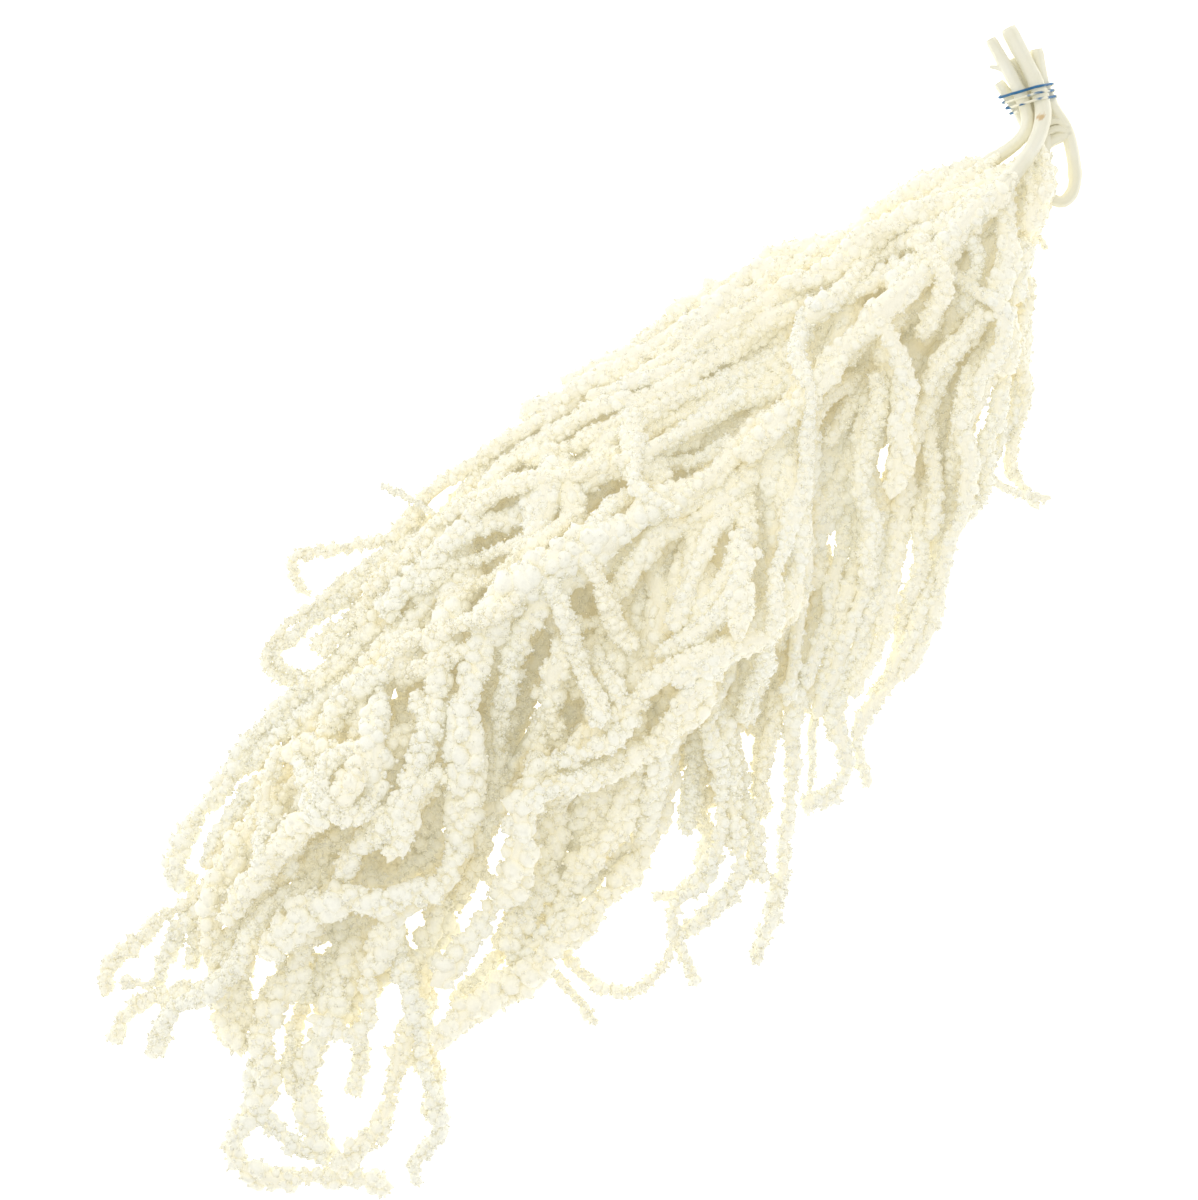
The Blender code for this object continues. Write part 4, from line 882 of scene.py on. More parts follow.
def lump_seats(points, radius, along, pitch, heap, rng):
    """Where a tassel's lumps sit, as (seats, normals, shares, depths). Their places are a grid of rows along
    the tube and cells round it, every other row half a cell further and each place a little off. A share
    comes from the tube's radius there against its usual one: thin parts have fewer and smaller lumps. Some
    are left out underneath, and all that lie deeper in the heap than the last depth."""
    side, up = frames_along(points)
    usual = np.percentile(radius, USUAL)
    row_pitch = ROWS_APART * pitch
    rows = max(FEWEST_ROWS, int(along[-1] / row_pitch))
    cells = max(FEWEST_ROWS, int(round(2 * math.pi * usual / pitch)))
    row, cell = np.arange(rows)[:, None], np.arange(cells)[None, :]
    place = row + 0.5 + rng.uniform(-ASTRAY_ALONG, ASTRAY_ALONG, (rows, cells))
    place = (place * row_pitch).ravel()
    turn = cell + 0.5 * (row % 2) + rng.uniform(-ASTRAY_ROUND, ASTRAY_ROUND, (rows, cells))
    turn = (turn * 2 * math.pi / cells).ravel()
    centre, side, up = (read_at(place, along, table) for table in (points, side, up))
    out = np.interp(place, along, radius)
    normals = np.cos(turn)[:, None] * side + np.sin(turn)[:, None] * up
    seats = centre + normals * out[:, None]
    chance = rng.uniform(size=(2, len(place)))
    depth = heap_top(seats, heap) - seats[:, 2]
    kept = chance[0] < FULL_ROWS * out / usual
    kept &= (np.sin(turn) > UNDERSIDE) | (chance[1] < UNDERSIDE_SHARE)
    kept &= (depth < LUMPS_DOWN_TO) & (seats[:, 2] > 0)
    shares = np.clip(np.sqrt(out / usual), *THIN_SHARES)
    return seats[kept], normals[kept], shares[kept], depth[kept]


# The shapes of a lump, of one that lies deep in the heap and of a floret
LUMP = ball((-0.1, 0.62), 6)
DEEP_LUMP = ball((0.1,), 5)
FLORET = ball((0.15,), 3)


def knobbliness(points):
    """How knobbly tassels are at every point: 0 near the stems, and 1 in the part of the bunch with the
    tips."""
    return smoothstep((KNOBBLY_FROM - points[:, 0]) / KNOBBLY_OVER)


def grown(parts, shape, seats, normals, sizes, tops, rng):
    """Adds a copy of a shape on every seat to the parts (vertices, triangles, crown) of a surface, with a
    crown that rises from the first value of tops to the second, and returns the vertices by copy."""
    placed, faces = copies(shape, seats, normals, sizes, rng)
    parts[1].append(faces + sum(len(part) for part in parts[0]))
    parts[0].append(placed.reshape(-1, 3))
    parts[2].append(np.tile(np.interp(shape[0][:, 2], CROWN_HEIGHTS, tops), len(seats)))
    return placed


def tassel_surface(strand, number, heap, looks):
    """One tassel as (vertices, quads, triangles, numbers). A tube that swells and shrinks at random and
    closes in a round tip carries ragged lumps, and each of these carries a few florets, but none deep in the
    heap. The numbers are the crown, 0 in the furrows and 1 on the tops, which sets the painted shade of the
    furrows, the tint, one for the whole tassel, and the deep shade, the share of painted shade from 0 at the
    heap's top to 1 deep inside."""
    rng = np.random.default_rng(number)
    points, radius, along = through(strand[0], strand[1], looks.grain)
    side, _ = frames_along(points)
    count = len(points)
    settled = smoothstep(along / ROOT_SETTLED) * smoothstep((along[-1] - along) / TIP_SETTLED) * looks.sway
    sway = wandering(rng, count, looks.grain, SWAY_SPELL) * settled
    points = points + side * sway[:, None]
    points[:, 2] += wandering(rng, count, looks.grain, SWAY_SPELL) * settled * SWAY_UP
    left = (along[-1] - along) / np.maximum(radius * TIP_LENGTH, 1e-6)
    tip = np.sqrt(np.maximum(1 - np.maximum(1 - left, 0) ** 2, TIP_THIN**2))
    knobbly = knobbliness(points)
    uneven = looks.lumpiness * (1 + KNOBBLY_UNEVEN * knobbly)
    swell = 1 + uneven * wandering(rng, count, looks.grain, SWELL_SPELL) * smoothstep(along / SWELL_OVER)
    whole = radius * tip * np.clip(swell, *SWELL_RANGE)
    bare = smoothstep((heap_top(points, heap) - points[:, 2] - LUMPS_DOWN_TO) / BARED_OVER)
    slim = looks.core - KNOBBLY_SLIMMER * knobbly
    relief = rng.uniform(-1, 1, (count, AROUND)) * (ROUGH + ROUGHER * bare[:, None])
    reach = ((slim + (BARE_CORE - slim) * bare) * whole)[:, None] * (1 + relief)
    quads, triangles = grid_faces(count, AROUND)
    crown = np.append((TUBE_CROWN + relief).ravel(), (TUBE_CROWN, TUBE_CROWN))
    parts = [carried(points, reach, AROUND)], [triangles], [crown]
    usual = np.percentile(radius, USUAL)
    size = min(max(looks.lump * usual, SMALLEST_LUMP), LARGEST_LUMP, LUMP_SHARE * usual)
    pitch = looks.spread * size * rng.uniform(*LUMP_SPACINGS)
    size = size * (1 - KNOBBLY_LARGER * (1 - knobbly.mean()))
    found = lump_seats(points, (LUMPS_OUT - size / usual) * whole, along, pitch, heap, rng)
    sizes = size * found[2] * rng.uniform(*LUMP_SIZES, len(found[0]))
    deep = found[3] > FEW_FLORETS_DOWN_TO
    grown(parts, DEEP_LUMP, found[0][deep], found[1][deep], sizes[deep], LUMP_CROWN, rng)
    seats, normals, shares, depth, sizes = (values[~deep] for values in (*found, sizes))
    lumps = grown(parts, LUMP, seats, normals, sizes, LUMP_CROWN, rng)
    upper = np.flatnonzero(LUMP[0][:, 2] > FLORETS_ABOVE)
    many = np.where(depth < FLORETS_DOWN_TO, looks.florets, FEW_FLORETS)
    owner = np.repeat(np.arange(len(seats)), many)
    corner = np.concatenate([rng.permutation(upper)[:some] for some in many] or [upper[:0]])
    clear = lumps[owner, corner, 2] > looks.floret
    owner, corner = owner[clear], corner[clear]
    spots = lumps[owner, corner]
    outward = unit(spots - seats[owner])
    small = looks.floret * rng.uniform(*FLORET_SIZES, len(owner)) * np.clip(shares[owner], FLORET_LEAST, 1)
    small = small * (1 + KNOBBLY_FLORETS * knobbliness(seats[owner]))
    grown(parts, FLORET, spots, outward, small, FLORET_CROWN, rng)
    vertices, triangles, crown = np.vstack(parts[0]), np.vstack(parts[1]), np.concatenate(parts[2])
    low = vertices[:, 2] < FLOOR_SKIN
    vertices[low, 2] = FLOOR_SKIN + FLOOR_SINK * (vertices[low, 2] - FLOOR_SKIN)
    tint = np.full(len(vertices), rng.uniform())
    deep_shade = np.clip((heap_top(vertices, heap) - vertices[:, 2] - DEEP_SHADE_FROM) / DEEP_SHADE_OVER, 0, 1)
    return vertices, quads, triangles, np.column_stack([crown, tint, deep_shade])


def parted(strand, number):
    """A thick tassel as two thinner ones that wind loosely round each other inside its outline, one of them a
    little shorter. Any other tassel stays as it is."""
    if np.median(strand[1]) < PARTED_FROM or np.median(strand[0][:, 0]) < PARTED_UP_TO:
        return [strand]
    rng = np.random.default_rng(PARTED_SEED + number)
    points, radii, along = through(*strand, PARTED_STEP)
    side, up = frames_along(points)
    turn = rng.uniform(0, 2 * math.pi) + rng.choice((-1, 1)) * 2 * math.pi * along / PARTED_TURN
    turn = turn + PARTED_LOOSE * wandering(rng, len(points), PARTED_STEP, PARTED_SPELL)
    apart = smoothstep(along / PARTED_OVER) * radii
    aside = (PARTED_ASIDE * np.cos(turn) * apart)[:, None] * side
    aside = aside + (PARTED_UP * np.sin(turn) * apart)[:, None] * up
    both = []
    for hand, share in zip((-1, 1), rng.permutation((1.0, rng.uniform(*PARTED_SHORTER)))):
        end = int(share * len(points))
        both.append((points[:end] + hand * aside[:end], PARTED_BULK * radii[:end]))
    return both


def inner_tassels(strands, heap):
    """More tassels for the inside of the heap, as (points, radii). Each follows one of the spray's tassels
    beside and below it, over the longest stretch on which both its flanks lie inside the heap."""
    found = []
    for points, radii in strands[1:]:
        middle, radius, along = through(points, radii, INNER_STEP)
        side, _ = frames_along(middle)
        inner = INNER_BULK * radius
        for hand in (-1, 1):
            line = middle + side * (hand * INNER_BESIDE * radius)[:, None]
            line[:, 2] = np.maximum(line[:, 2] - INNER_BELOW * radius, INNER_LYING * inner)
            inside = np.ones(len(line), bool)
            for flank in (-1, 1):
                edge = line + side * (flank * inner)[:, None]
                inside &= heap_top(edge, heap) > line[:, 2] - INNER_BARED
            start, end = longest_run(inside & (along > ROOT_LENGTH / 2))
            if end > start and along[end - 1] - along[start] > INNER_SHORTEST:
                gone = along[start:end] - along[start]
                left = gone[-1] - gone
                kept = ROOT_RADIUS + (inner[start:end] - ROOT_RADIUS) * smoothstep(gone / INNER_OVER)
                taper = INNER_END + (1 - INNER_END) * smoothstep(left / INNER_OVER)
                found.append((line[start:end], kept * taper))
    return found


def core_tassels(heap):
    """Tassels for the heap's core, as (points, radii): in each layer they spread from the stems and run side
    by side along the heap, wandering a little and ending at different places."""
    rng = np.random.default_rng(CORE_SEED)
    sheet = np.array(CORE, float)
    flat = np.column_stack([on_table(sheet[:, :2]), np.zeros(len(sheet))])
    middle, half, along = through(flat, sheet[:, 2] * STEP, CORE_STEP)
    side, _ = frames_along(middle)
    count = len(middle)
    window = np.ones(CORE_EVENED) / CORE_EVENED
    found = []
    for share in CORE_LAYERS:
        across = np.arange(-half.max(), half.max(), CORE_SPACING) + rng.uniform(0, CORE_SPACING)
        for place in across[:-1] / half.max():
            wander = wandering(rng, count, CORE_STEP, CORE_ASIDE_SPELL) * CORE_ASIDE
            wander = wander * smoothstep(along / CORE_OVER)
            line = middle + side * (place * half + wander)[:, None]
            height = share * np.convolve(heap_top(line, heap), window, "same")
            height = height + wandering(rng, count, CORE_STEP, CORE_UP_SPELL) * CORE_UP
            line[:, 2] = np.maximum(height, CORE_RADIUS)
            start = rng.integers(0, CORE_STARTS)
            end = int(count * rng.uniform(*CORE_ENDS))
            gone = along[start:end] - along[start]
            thick = CORE_RADIUS * rng.uniform(*CORE_THICK) * smoothstep((gone + CORE_LEAD) / CORE_OVER)
            found.append((line[start:end], thick))
    return found


def tapered(thick, thin, waypoints):
    """The waypoints of a list's row on the table, with the height 0, and the radii there."""
    plan = on_table(waypoints)
    along = lengths_along(plan)
    radii = np.interp(along, (0, along[-1]), (thick * MM, thin * MM))
    return np.column_stack([plan, 0 * radii]), radii


def fringe_tassels():
    """The tassels at the heap's edges, as (points, radii)."""
    found = []
    for row in FRINGE:
        points, radii = tapered(*row)
        points[:, 2] = LYING * radii
        found.append((points, radii))
    return found


def uppermost_tassels(heap):
    """The tassels that lie over the others and between those, as (points, radii). Their height is the highest
    peak near by, averaged along the tassel, and a share of the radius over or under that."""
    found = []
    rules = [(UPPERMOST_OVER, row) for row in UPPERMOST] + [(BETWEEN_OVER, row) for row in BETWEEN]
    width = 2 * EVEN_REACH + 1
    for share, row in rules:
        line, radius, along = through(*tapered(*row), OUT_STEP)
        tops = np.pad(heap_top(line, heap), PEAK_REACH, mode="edge")
        peaks = np.lib.stride_tricks.sliding_window_view(tops, 2 * PEAK_REACH + 1).max(axis=1)
        even = np.convolve(np.pad(peaks, EVEN_REACH, mode="edge"), np.ones(width) / width, "valid")
        over = share - OUT_FROM * (1 - smoothstep(along / OUT_OVER))
        line[:, 2] = np.maximum(even + over * radius, LYING * radius)
        found.append((line, radius))
    return found


def shown_tassels():
    """All tassels that are shown, by spray: those of the solids, and the ones that fill the heap."""
    sprays, heap = {}, heap_heights(BUNCH)
    for order, (name, strands) in enumerate(BUNCH.items(), 1):
        sprays[name] = [coat_of(strands[0])]
        for number, strand in enumerate(strands[1:], 1):
            sprays[name] += parted(strand, 100 * order + number)
        sprays[name] += inner_tassels(strands, heap)
    sprays["spray_3"] += core_tassels(heap)
    sprays["spray_1"] += fringe_tassels()
    sprays["spray_4"] += uppermost_tassels(heap)
    return sprays


def longest_run(flags):
    """The start and end of the longest unbroken run of true flags."""
    edges = np.flatnonzero(np.diff(np.concatenate([[0], flags.astype(int), [0]])))
    if not len(edges):
        return 0, 0
    runs = edges.reshape(-1, 2)
    return tuple(runs[np.argmax(runs[:, 1] - runs[:, 0])])


def stem_surface(strand, number, looks):
    """A stem as (vertices, quads, triangles, groove). Its radius is the strand's own, with ribs and broader
    flats that wander slowly round it, cosines of the angle, and a swollen joint, a bell curve, every few
    centimetres. Its thick end is cut square."""
    rng = np.random.default_rng(STEM_SEED + number)
    points, radius, along = through(strand[0], strand[1], looks.fibre)
    count = len(points)
    angle = 2 * math.pi * np.arange(STEM_AROUND)[None, :] / STEM_AROUND
    twist = np.cumsum(wandering(rng, count, looks.fibre, TWIST_SPELL))[:, None] * TWIST
    ribs = RIB_SHARE * np.cos(RIBS * (angle + twist))
    ribs = ribs + FLAT_SHARE * np.cos(FLATS * angle - 2 * twist + number)
    places = np.arange(FIRST_JOINT + JOINT_SHIFT * number, along[-1], JOINTS_APART)
    joints = np.exp(-(((along[:, None] - places) / JOINT_LENGTH) ** 2)).sum(axis=1)
    wander = wandering(rng, count, looks.fibre, UNEVEN_SPELL)
    relief = RIB_RELIEF * ribs + (JOINT_RELIEF * joints + UNEVEN * wander)[:, None]
    reach = radius[:, None] * (1 + relief)
    reach = reach + rng.uniform(-1, 1, reach.shape) * COARSE
    blunt = 1 - BEVEL_IN * (1 - np.minimum(along / BEVEL, 1))
    vertices = carried(points, reach * blunt[:, None], STEM_AROUND)
    vertices[:, 2] = np.maximum(vertices[:, 2], FLOOR_SKIN)
    quads, triangles = grid_faces(count, STEM_AROUND)
    return vertices, quads, triangles, np.append((0.5 - 0.5 * ribs).ravel(), (0.5, 0.5))[:, None]


def coat_of(stem):
    """The coat of florets on the part of a stem that lies in the heap, as (points, radii) like a tassel's."""
    points, radii, along = through(*stem, COAT_STEP)
    inside = points[:, 0] < STEMS_BARE_FROM
    points, radii, along = points[inside], radii[inside], along[inside] - along[inside][0]
    return points, radii + COAT * smoothstep((along + COAT_LEAD) / COAT_OVER)


def snag(thick, thin, waypoints, start, end):
    """A short woody part as (points, radii), like a stem's."""
    points, radii = tapered(thick, thin, waypoints)
    along = lengths_along(points)
    points[:, 2] = np.interp(along, (0, along[-1]), (start * MM, end * MM))
    return points, radii


def in_scene(name, data):
    """A new object in the scene with its mesh, lamp or camera data."""
    made = bpy.data.objects.new(name, data)
    bpy.context.scene.collection.objects.link(made)
    return made


def piece_of(name, surfaces, attributes, finish, body, *nodes):
    """One object of several surfaces: their vertices and faces end to end, with an attribute for each column
    of their numbers."""
    vertices, quads, triangles, numbers = zip(*surfaces)
    offsets = np.cumsum([0] + [len(points) for points in vertices[:-1]])
    vertices, numbers = np.vstack(vertices), np.vstack(numbers)
    quads, triangles = (
        np.vstack([faces + offset for faces, offset in zip(part, offsets)]) for part in (quads, triangles)
    )
    mesh = bpy.data.meshes.new(name)
    mesh.vertices.add(len(vertices))
    mesh.vertices.foreach_set("co", vertices.astype(np.float32).ravel())
    mesh.loops.add(quads.size + triangles.size)
    corners = np.concatenate([quads.ravel(), triangles.ravel()])
    mesh.loops.foreach_set("vertex_index", corners.astype(np.int32))
    mesh.polygons.add(len(quads) + len(triangles))
    starts = np.concatenate([np.arange(len(quads)) * 4, quads.size + np.arange(len(triangles)) * 3])
    mesh.polygons.foreach_set("loop_start", starts.astype(np.int32))
    mesh.update(calc_edges=True)
    mesh.shade_smooth()
    for attribute, column in zip(attributes, numbers.T):
        layer = mesh.attributes.new(attribute, "FLOAT", "POINT")
        layer.data.foreach_set("value", column.astype(np.float32))
    mesh.materials.append(finish)
    made = in_scene(name, mesh)
    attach(made, body)
    if nodes:
        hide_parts(*nodes)
    return made


# Materials


class Socket:
    """A shader socket that arithmetic can be written on; each operation adds a Math node."""

    def __init__(self, shader, link):
        self.shader, self.link = shader, link

    def _math(self, operation, *values):
        return self.shader.node("ShaderNodeMath", {"operation": operation}, *values)

    def __add__(self, other):
        return self._math("ADD", self, other)

    def __radd__(self, other):
        return self._math("ADD", other, self)

    def __sub__(self, other):
        return self._math("SUBTRACT", self, other)

    def __rsub__(self, other):
        return self._math("SUBTRACT", other, self)

    def __mul__(self, other):
        return self._math("MULTIPLY", self, other)

    def __rmul__(self, other):
        return self._math("MULTIPLY", other, self)

    def __pow__(self, other):
        return self._math("POWER", self, other)

    def clamped(self):
        return self.shader.node("ShaderNodeClamp", {}, self, 0.0, 1.0)


class Shader:
    """A material's node tree, with one method for any node and its Principled BSDF at hand."""

    def __init__(self, name):
        self.material = bpy.data.materials.new(name)
        self.material.use_nodes = True
        self.tree = self.material.node_tree
        self.surface = self.tree.nodes["Principled BSDF"]

    def node(self, kind, settings, *values, out=0, **named):
        """Any node: its settings first, then its inputs in order or by name, as values or sockets."""
        made = self.tree.nodes.new(kind)
        for key, value in settings.items():
            setattr(made, key, value)
        for key, value in [*enumerate(values), *named.items()]:
            self.join(value, made.inputs[key])
        return Socket(self, made.outputs[out])

    def join(self, value, target):
        if isinstance(value, Socket):
            self.tree.links.new(value.link, target)
        elif value is not None:
            target.default_value = value

    def place(self):
        return self.node("ShaderNodeTexCoord", {}, out="Object")

    def attribute(self, name):
        return self.node("ShaderNodeAttribute", {"attribute_name": name}, out="Fac")

    def noise(self, scale, detail=2.0, roughness=0.5, stretched=None):
        where = self.place()
        if stretched:
            where = self.node("ShaderNodeMapping", {}, where, (0, 0, 0), (0, 0, 0), stretched)
        inputs = {"Vector": where, "Scale": scale, "Detail": detail, "Roughness": roughness}
        return self.node("ShaderNodeTexNoise", {}, **inputs)

    def cells(self, scale):
        return self.node("ShaderNodeTexVoronoi", {}, Vector=self.place(), Scale=scale, out="Distance")

    def mixed(self, share, low, high):
        """Colour low where share is 0, colour high where it is 1."""
        made = self.tree.nodes.new("ShaderNodeMix")
        made.data_type = "RGBA"
        self.join(share, made.inputs[0])
        self.join(low, made.inputs[6])
        self.join(high, made.inputs[7])
        return Socket(self, made.outputs[2])

    def set(self, **inputs):
        for key, value in inputs.items():
            self.join(value, self.surface.inputs[key.replace("_", " ")])

    def bumped(self, height, distance, strength=1.0):
        inputs = {"Strength": strength, "Distance": distance, "Height": height}
        self.set(Normal=self.node("ShaderNodeBump", {}, out="Normal", **inputs))

    def vector(self, operation, one, other, out=0):
        """Vector arithmetic on two vectors."""
        return self.node("ShaderNodeVectorMath", {"operation": operation}, one, other, out=out)


def with_alpha(colour):
    return (*colour, 1.0)


def blossom_finish(looks):
    """Bleached florets: cream on the crowns and, as painted shade, warmer and darker in the furrows between
    them, each tassel its own cream between two, in slow patches, and a painted tan shade deep inside the
    heap, over a fine grain of single florets that the bump raises. A faint warm glow is painted light that
    lifts the shade of the florets all over."""
    shader = Shader("blossom")
    crown, tint, deep_shade = (shader.attribute(name) for name in ("crown", "tint", "deep_shade"))
    patches = shader.noise(26.0, 3.0)
    grain = shader.cells(620.0)
    specks = shader.noise(900.0, 2.0)
    # Painted shade in the furrows: where the crown is low, the colour turns to the darker, warmer furrow
    # shade cream
    furrows = (1.15 - crown * 1.15 + (specks - 0.5) * 0.5).clamped() ** 1.4
    paler = (patches * 1.8 - 0.9 + tint * 0.9).clamped()
    pale = shader.mixed(paler, with_alpha(looks.blossom), with_alpha(looks.ivory))
    colour = shader.mixed(furrows * 0.85, pale, with_alpha(looks.furrow_shade))
    # Painted shade: the deeper a point lies in the heap, the more it turns to the darker, warmer inner cream
    colour = shader.mixed(deep_shade * 0.8, colour, with_alpha(looks.inner))
    shader.set(Base_Color=colour, Roughness=0.82 + 0.12 * specks)
    shader.set(Sheen_Weight=0.12, Sheen_Roughness=0.6, Specular_IOR_Level=0.2)
    # Painted light: the florets glow faintly in the furrow shade cream, which lifts their shade everywhere
    shader.set(Emission_Color=with_alpha(looks.furrow_shade), Emission_Strength=looks.painted_glow)
    shader.bumped((0.75 - grain) + specks * 0.45, 0.3 * MM)
    return shader.material


def bark_finish(looks):
    """Bleached stem: smooth pale skin with long streaks, warmer in the grooves and grey-green in patches, and
    brown in the torn hollow below the tie."""
    shader = Shader("bark")
    groove = shader.attribute("groove")
    patches = shader.noise(60.0, 3.0)
    fibre = shader.noise(420.0, 4.0, 0.6, (0.25, 1.0, 1.0))
    colour = shader.mixed((patches * 1.8 - 0.7).clamped(), with_alpha(looks.bark), with_alpha(looks.ivory))
    # The grooves between the ribs turn warmer, towards the furrow shade cream, with a little of the fibre
    # streaks
    colour = shader.mixed((groove ** 2.0) * 0.45 + fibre * 0.12, colour, with_alpha(looks.furrow_shade))
    flat = shader.vector("MULTIPLY", shader.place(), (1.0, 1.0, 0.0))
    away = shader.vector("DISTANCE", flat, (*on_table([HOLLOW])[0], 0.0), "Value")
    torn = ((HOLLOW_RADIUS + (fibre - 0.5) * HOLLOW_RAGGED - away) * HOLLOW_CRISP).clamped()
    colour = shader.mixed(torn * 0.7, colour, with_alpha(looks.torn))
    shader.set(Base_Color=colour, Roughness=0.45 + 0.25 * fibre)
    shader.set(Specular_IOR_Level=0.4)
    shader.bumped(fibre + groove * -0.6, 0.5 * MM, 0.7)
    return shader.material


def tie_finish(looks):
    """Thin blue band: slightly glossy, with fine pits. Pale fibres cover the turns nearer the tassels in
    patches, so only bits of them show blue."""
    shader = Shader("tie_blue")
    start, end = on_table(BUNDLE_LINE)
    axis = (end - start) / np.linalg.norm(end - start)
    past = shader.vector("DOT_PRODUCT", shader.place(), (*axis, 0.0), "Value")
    past = past - (float(axis @ on_table([TIE_MIDDLE])[0]) + WORN_FROM)
    patch = ((shader.noise(120.0, 1.0) - PATCH_LEVEL) * PATCH_CRISP).clamped()
    covered = patch * (past * WORN_CRISP).clamped()
    wear = shader.noise(240.0, 3.0)
    pits = shader.noise(1500.0, 2.0)
    blues = with_alpha(looks.tie_dark), with_alpha(looks.tie_blue)
    colour = shader.mixed((wear * 2.0 - 0.7).clamped(), *blues)
    colour = shader.mixed(covered, colour, with_alpha(looks.bark))
    shader.set(Base_Color=colour, Roughness=0.35 + 0.3 * pits)
    shader.bumped(pits, 0.15 * MM)
    return shader.material


def floor_finish(glow):
    """Pale matt table that is lit from below, so it stays white in the gaps between the tassels."""
    shader = Shader("light_table")
    tooth = shader.noise(300.0, 3.0)
    greys = (with_alpha((grey,) * 3) for grey in FLOOR_GREYS)
    shader.set(Base_Color=shader.mixed(tooth, *greys), Roughness=0.9)
    shader.set(Emission_Color=WHITE, Emission_Strength=glow)
    return shader.material


# The add-on's properties, operators and panel


class AmaranthusLooks(bpy.types.PropertyGroup):
    grain: FloatProperty(
        name="Grain", description="Distance between neighbouring points of a tassel",
        default=3.4 * MM, unit="LENGTH",
    )
    fibre: FloatProperty(
        name="Fibre", description="Distance between neighbouring points of a stem",
        default=2.2 * MM, unit="LENGTH",
    )
    lump: FloatProperty(
        name="Lump", description="Radius of a lump, as a share of the tassel's",
        default=0.54, subtype="FACTOR",
    )
    spread: FloatProperty(
        name="Spread", description="Distance between lumps, as a share of their radius",
        default=1.5, subtype="FACTOR",
    )
    floret: FloatProperty(name="Floret", description="Radius of a floret", default=1.05 * MM, unit="LENGTH")
    florets: IntProperty(name="Florets", description="How many florets each lump carries", default=4)
    core: FloatProperty(
        name="Core", description="Radius of the tube, as a share of the tassel's",
        default=0.8, subtype="FACTOR",
    )
    lumpiness: FloatProperty(
        name="Lumpiness", description="How much a tassel swells and shrinks",
        default=0.17, subtype="FACTOR",
    )
    sway: FloatProperty(
        name="Sway", description="How far a tassel wanders sideways",
        default=1.3 * MM, unit="LENGTH",
    )
    # Strength of the painted glow that lifts the shade of the florets
    painted_glow: FloatProperty(
        name="Light through", description="How much light seems to come through the florets",
        default=0.12,
    )
    blossom: FloatVectorProperty(
        name="Blossom", description="Main cream of the florets",
        default=(0.945, 0.915, 0.77), subtype="COLOR",
    )
    ivory: FloatVectorProperty(
        name="Ivory", description="Paler cream",
        default=(0.905, 0.9, 0.81), subtype="COLOR",
    )
    # The furrow shade cream is the colour of the painted shade in the florets' furrows, and also of their
    # painted glow
    furrow_shade: FloatVectorProperty(
        name="Furrow", description="Warm cream between the florets",
        default=(0.92, 0.878, 0.715), subtype="COLOR",
    )
    # The inner cream is the colour of the painted shade deep inside the heap
    inner: FloatVectorProperty(
        name="Inner", description="Warmer cream of the florets deep inside the heap",
        default=(0.945, 0.88, 0.66), subtype="COLOR",
    )
    bark: FloatVectorProperty(
        name="Bark", description="Pale green-grey skin of the stems",
        default=(0.86, 0.83, 0.66), subtype="COLOR",
    )
    torn: FloatVectorProperty(
        name="Torn", description="Brown of the torn hollow below the tie",
        default=(0.60, 0.36, 0.10), subtype="COLOR",
    )
    tie_blue: FloatVectorProperty(
        name="Tie", description="Blue of the tie",
        default=(0.02, 0.20, 0.42), subtype="COLOR",
    )
    tie_dark: FloatVectorProperty(
        name="Tie shade", description="Darker blue of the tie",
        default=(0.01, 0.11, 0.26), subtype="COLOR",
    )


class AmaranthusStage(bpy.types.PropertyGroup):
    frame_height: IntProperty(name="Height", description="Height of the view in pixels", default=1200)
    distance: FloatProperty(name="Distance", description="Camera above the table", default=6.0, unit="LENGTH")
    level: FloatProperty(
        name="Level", description="Height of the plane that the view's scale is set on",
        default=0.03, unit="LENGTH",
    )
    sky: FloatProperty(name="Sky", description="Strength of the even light from all sides", default=0.8)
    glow: FloatProperty(name="Glow", description="Strength of the table's light from below", default=0.9)
    lamp: FloatProperty(name="Lamp", description="Power of the large soft lamp", default=5.0, unit="POWER")


class AMARANTHUS_OT_stems(bpy.types.Operator):
    """Build the five bare stems with their ribs, joints and cut ends"""

    bl_idname = "amaranthus.stems"
    bl_label = "Stems"

    def execute(self, context):
        looks = context.scene.amaranthus_looks
        finish = bark_finish(looks)
        for number, (name, strands) in enumerate(BUNCH.items(), 1):
            woody = [strands[0]] + [snag(*rule) for rule in SNAGS.get(name, [])]
            surfaces = [stem_surface(strand, 10 * number + k, looks) for k, strand in enumerate(woody)]
            made = piece_of(f"{name}_stem", surfaces, ("groove",), finish, "root", name)
        return {"FINISHED"}


class AMARANTHUS_OT_tassels(bpy.types.Operator):
    """Build every tassel of the five sprays with its clusters of florets"""

    bl_idname = "amaranthus.tassels"
    bl_label = "Tassels"

    def execute(self, context):
        looks = context.scene.amaranthus_looks
        finish = blossom_finish(looks)
        sprays = shown_tassels()
        heap = heap_heights(sprays)
        for order, (name, strands) in enumerate(sprays.items(), 1):
            batch, size, part = [], 0, 1
            for number, strand in enumerate(strands, 1):
                surface = tassel_surface(strand, 100 * order + number, heap, looks)
                faces = 2 * len(surface[1]) + len(surface[2])
                if size + faces > PIECE_LIMIT:
                    self.piece(name, part, batch, finish)
                    batch, size, part = [], 0, part + 1
                batch.append(surface)
                size += faces
            self.piece(name, part, batch, finish)
        return {"FINISHED"}

    def piece(self, name, part, batch, finish):
        made = piece_of(f"{name}_tassels_{part}", batch, ("crown", "tint", "deep_shade"), finish, "root", name)


class AMARANTHUS_OT_tie(bpy.types.Operator):
    """Give the wound tie its blue finish"""

    bl_idname = "amaranthus.tie"
    bl_label = "Tie"

    def execute(self, context):
        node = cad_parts["tie"]
        finish = tie_finish(context.scene.amaranthus_looks)
        for place in node.material_slots:
            place.material = finish
        return {"FINISHED"}


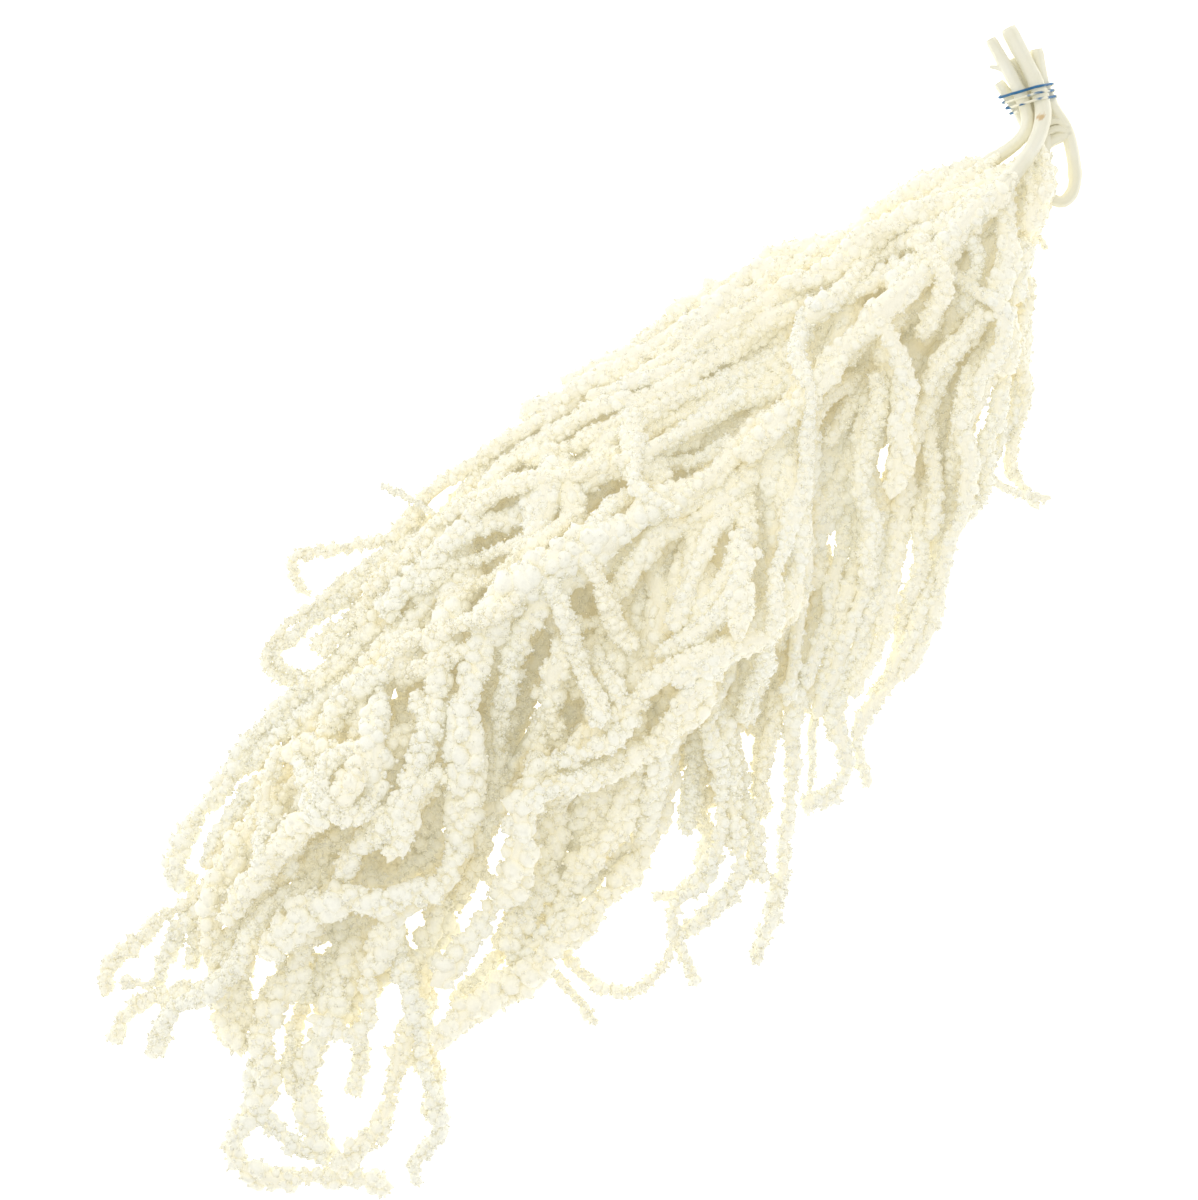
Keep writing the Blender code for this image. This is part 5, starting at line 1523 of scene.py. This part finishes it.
class AMARANTHUS_OT_stage(bpy.types.Operator):
    """Lay the pale floor, light it softly and set the camera straight above"""

    bl_idname = "amaranthus.stage"
    bl_label = "Floor, light and camera"

    def execute(self, context):
        stage = context.scene.amaranthus_stage
        mesh = bpy.data.meshes.new("floor")
        corners = [(-1, -1, 0), (1, -1, 0), (1, 1, 0), (-1, 1, 0)]
        mesh.from_pydata(FLOOR_HALF * np.array(corners), [], [(0, 1, 2, 3)])
        mesh.materials.append(floor_finish(stage.glow))
        floor = in_scene("floor", mesh)
        world = bpy.data.worlds.new("even_light")
        world.use_nodes = True
        sky = world.node_tree.nodes["Background"]
        sky.inputs["Color"].default_value = WHITE
        sky.inputs["Strength"].default_value = stage.sky
        context.scene.world = world
        right, up, middle = view_axes()
        lamp = bpy.data.lights.new("soft_lamp", "AREA")
        lamp.shape, lamp.size, lamp.energy = "DISK", LAMP_SIZE, stage.lamp
        holder = in_scene("soft_lamp", lamp)
        spot = middle + np.array(LAMP_PLACE) @ np.array([right, up, (0, 0, 1)])
        holder.matrix_world = looking(spot, middle - spot)
        camera = in_scene("camera", bpy.data.cameras.new("camera"))
        camera.data.sensor_width = SENSOR
        camera.data.lens = SENSOR * stage.distance / (stage.frame_height * STEP)
        camera.data.clip_end = CLIP_END
        high = (0, 0, stage.distance + stage.level)
        camera.matrix_world = matrix_of(right, up, (0, 0, 1), middle + high)
        context.scene.camera = camera
        context.scene.view_settings.view_transform = "Standard"
        return {"FINISHED"}


def view_axes():
    """The directions of the layout sheet's right and top on the table, and the view's middle."""
    slope = BUNCH_SLOPE
    right = np.array([math.cos(slope), -math.sin(slope), 0.0])
    up = np.array([math.sin(slope), math.cos(slope), 0.0])
    return right, up, np.append(on_table([SHEET_CENTRE])[0], 0.0)


def matrix_of(*columns):
    """The matrix of an object with these three axes at the place that comes last."""
    return Matrix(np.vstack([np.column_stack(columns), (0, 0, 0, 1)]).tolist())


def looking(spot, towards):
    """The matrix of a lamp at a spot that shines towards a direction."""
    back = -towards / np.linalg.norm(towards)
    across = np.cross((0, 1, 0), back)
    across /= np.linalg.norm(across)
    return matrix_of(across, np.cross(back, across), back, spot)


class AMARANTHUS_PT_panel(bpy.types.Panel):
    bl_idname = "AMARANTHUS_PT_panel"
    bl_label = "Amaranthus"
    bl_space_type = "VIEW_3D"
    bl_region_type = "UI"
    bl_category = "Amaranthus"

    def draw(self, context):
        layout = self.layout
        for group in (context.scene.amaranthus_looks, context.scene.amaranthus_stage):
            box = layout.box()
            for key in group.__annotations__:
                box.prop(group, key)
        for operator in OPERATORS:
            layout.operator(operator.bl_idname)


OPERATORS = (AMARANTHUS_OT_stems, AMARANTHUS_OT_tassels, AMARANTHUS_OT_tie, AMARANTHUS_OT_stage)
CLASSES = (AmaranthusLooks, AmaranthusStage, *OPERATORS, AMARANTHUS_PT_panel)


def register():
    for cls in CLASSES:
        bpy.utils.register_class(cls)
    bpy.types.Scene.amaranthus_looks = PointerProperty(type=AmaranthusLooks)
    bpy.types.Scene.amaranthus_stage = PointerProperty(type=AmaranthusStage)


def unregister():
    del bpy.types.Scene.amaranthus_stage
    del bpy.types.Scene.amaranthus_looks
    for cls in reversed(CLASSES):
        bpy.utils.unregister_class(cls)


def main():
    register()
    bpy.ops.amaranthus.stems()
    bpy.ops.amaranthus.tassels()
    bpy.ops.amaranthus.tie()
    bpy.ops.amaranthus.stage()
    bpy.context.view_layer.update()


if __name__ == "__main__":
    main()
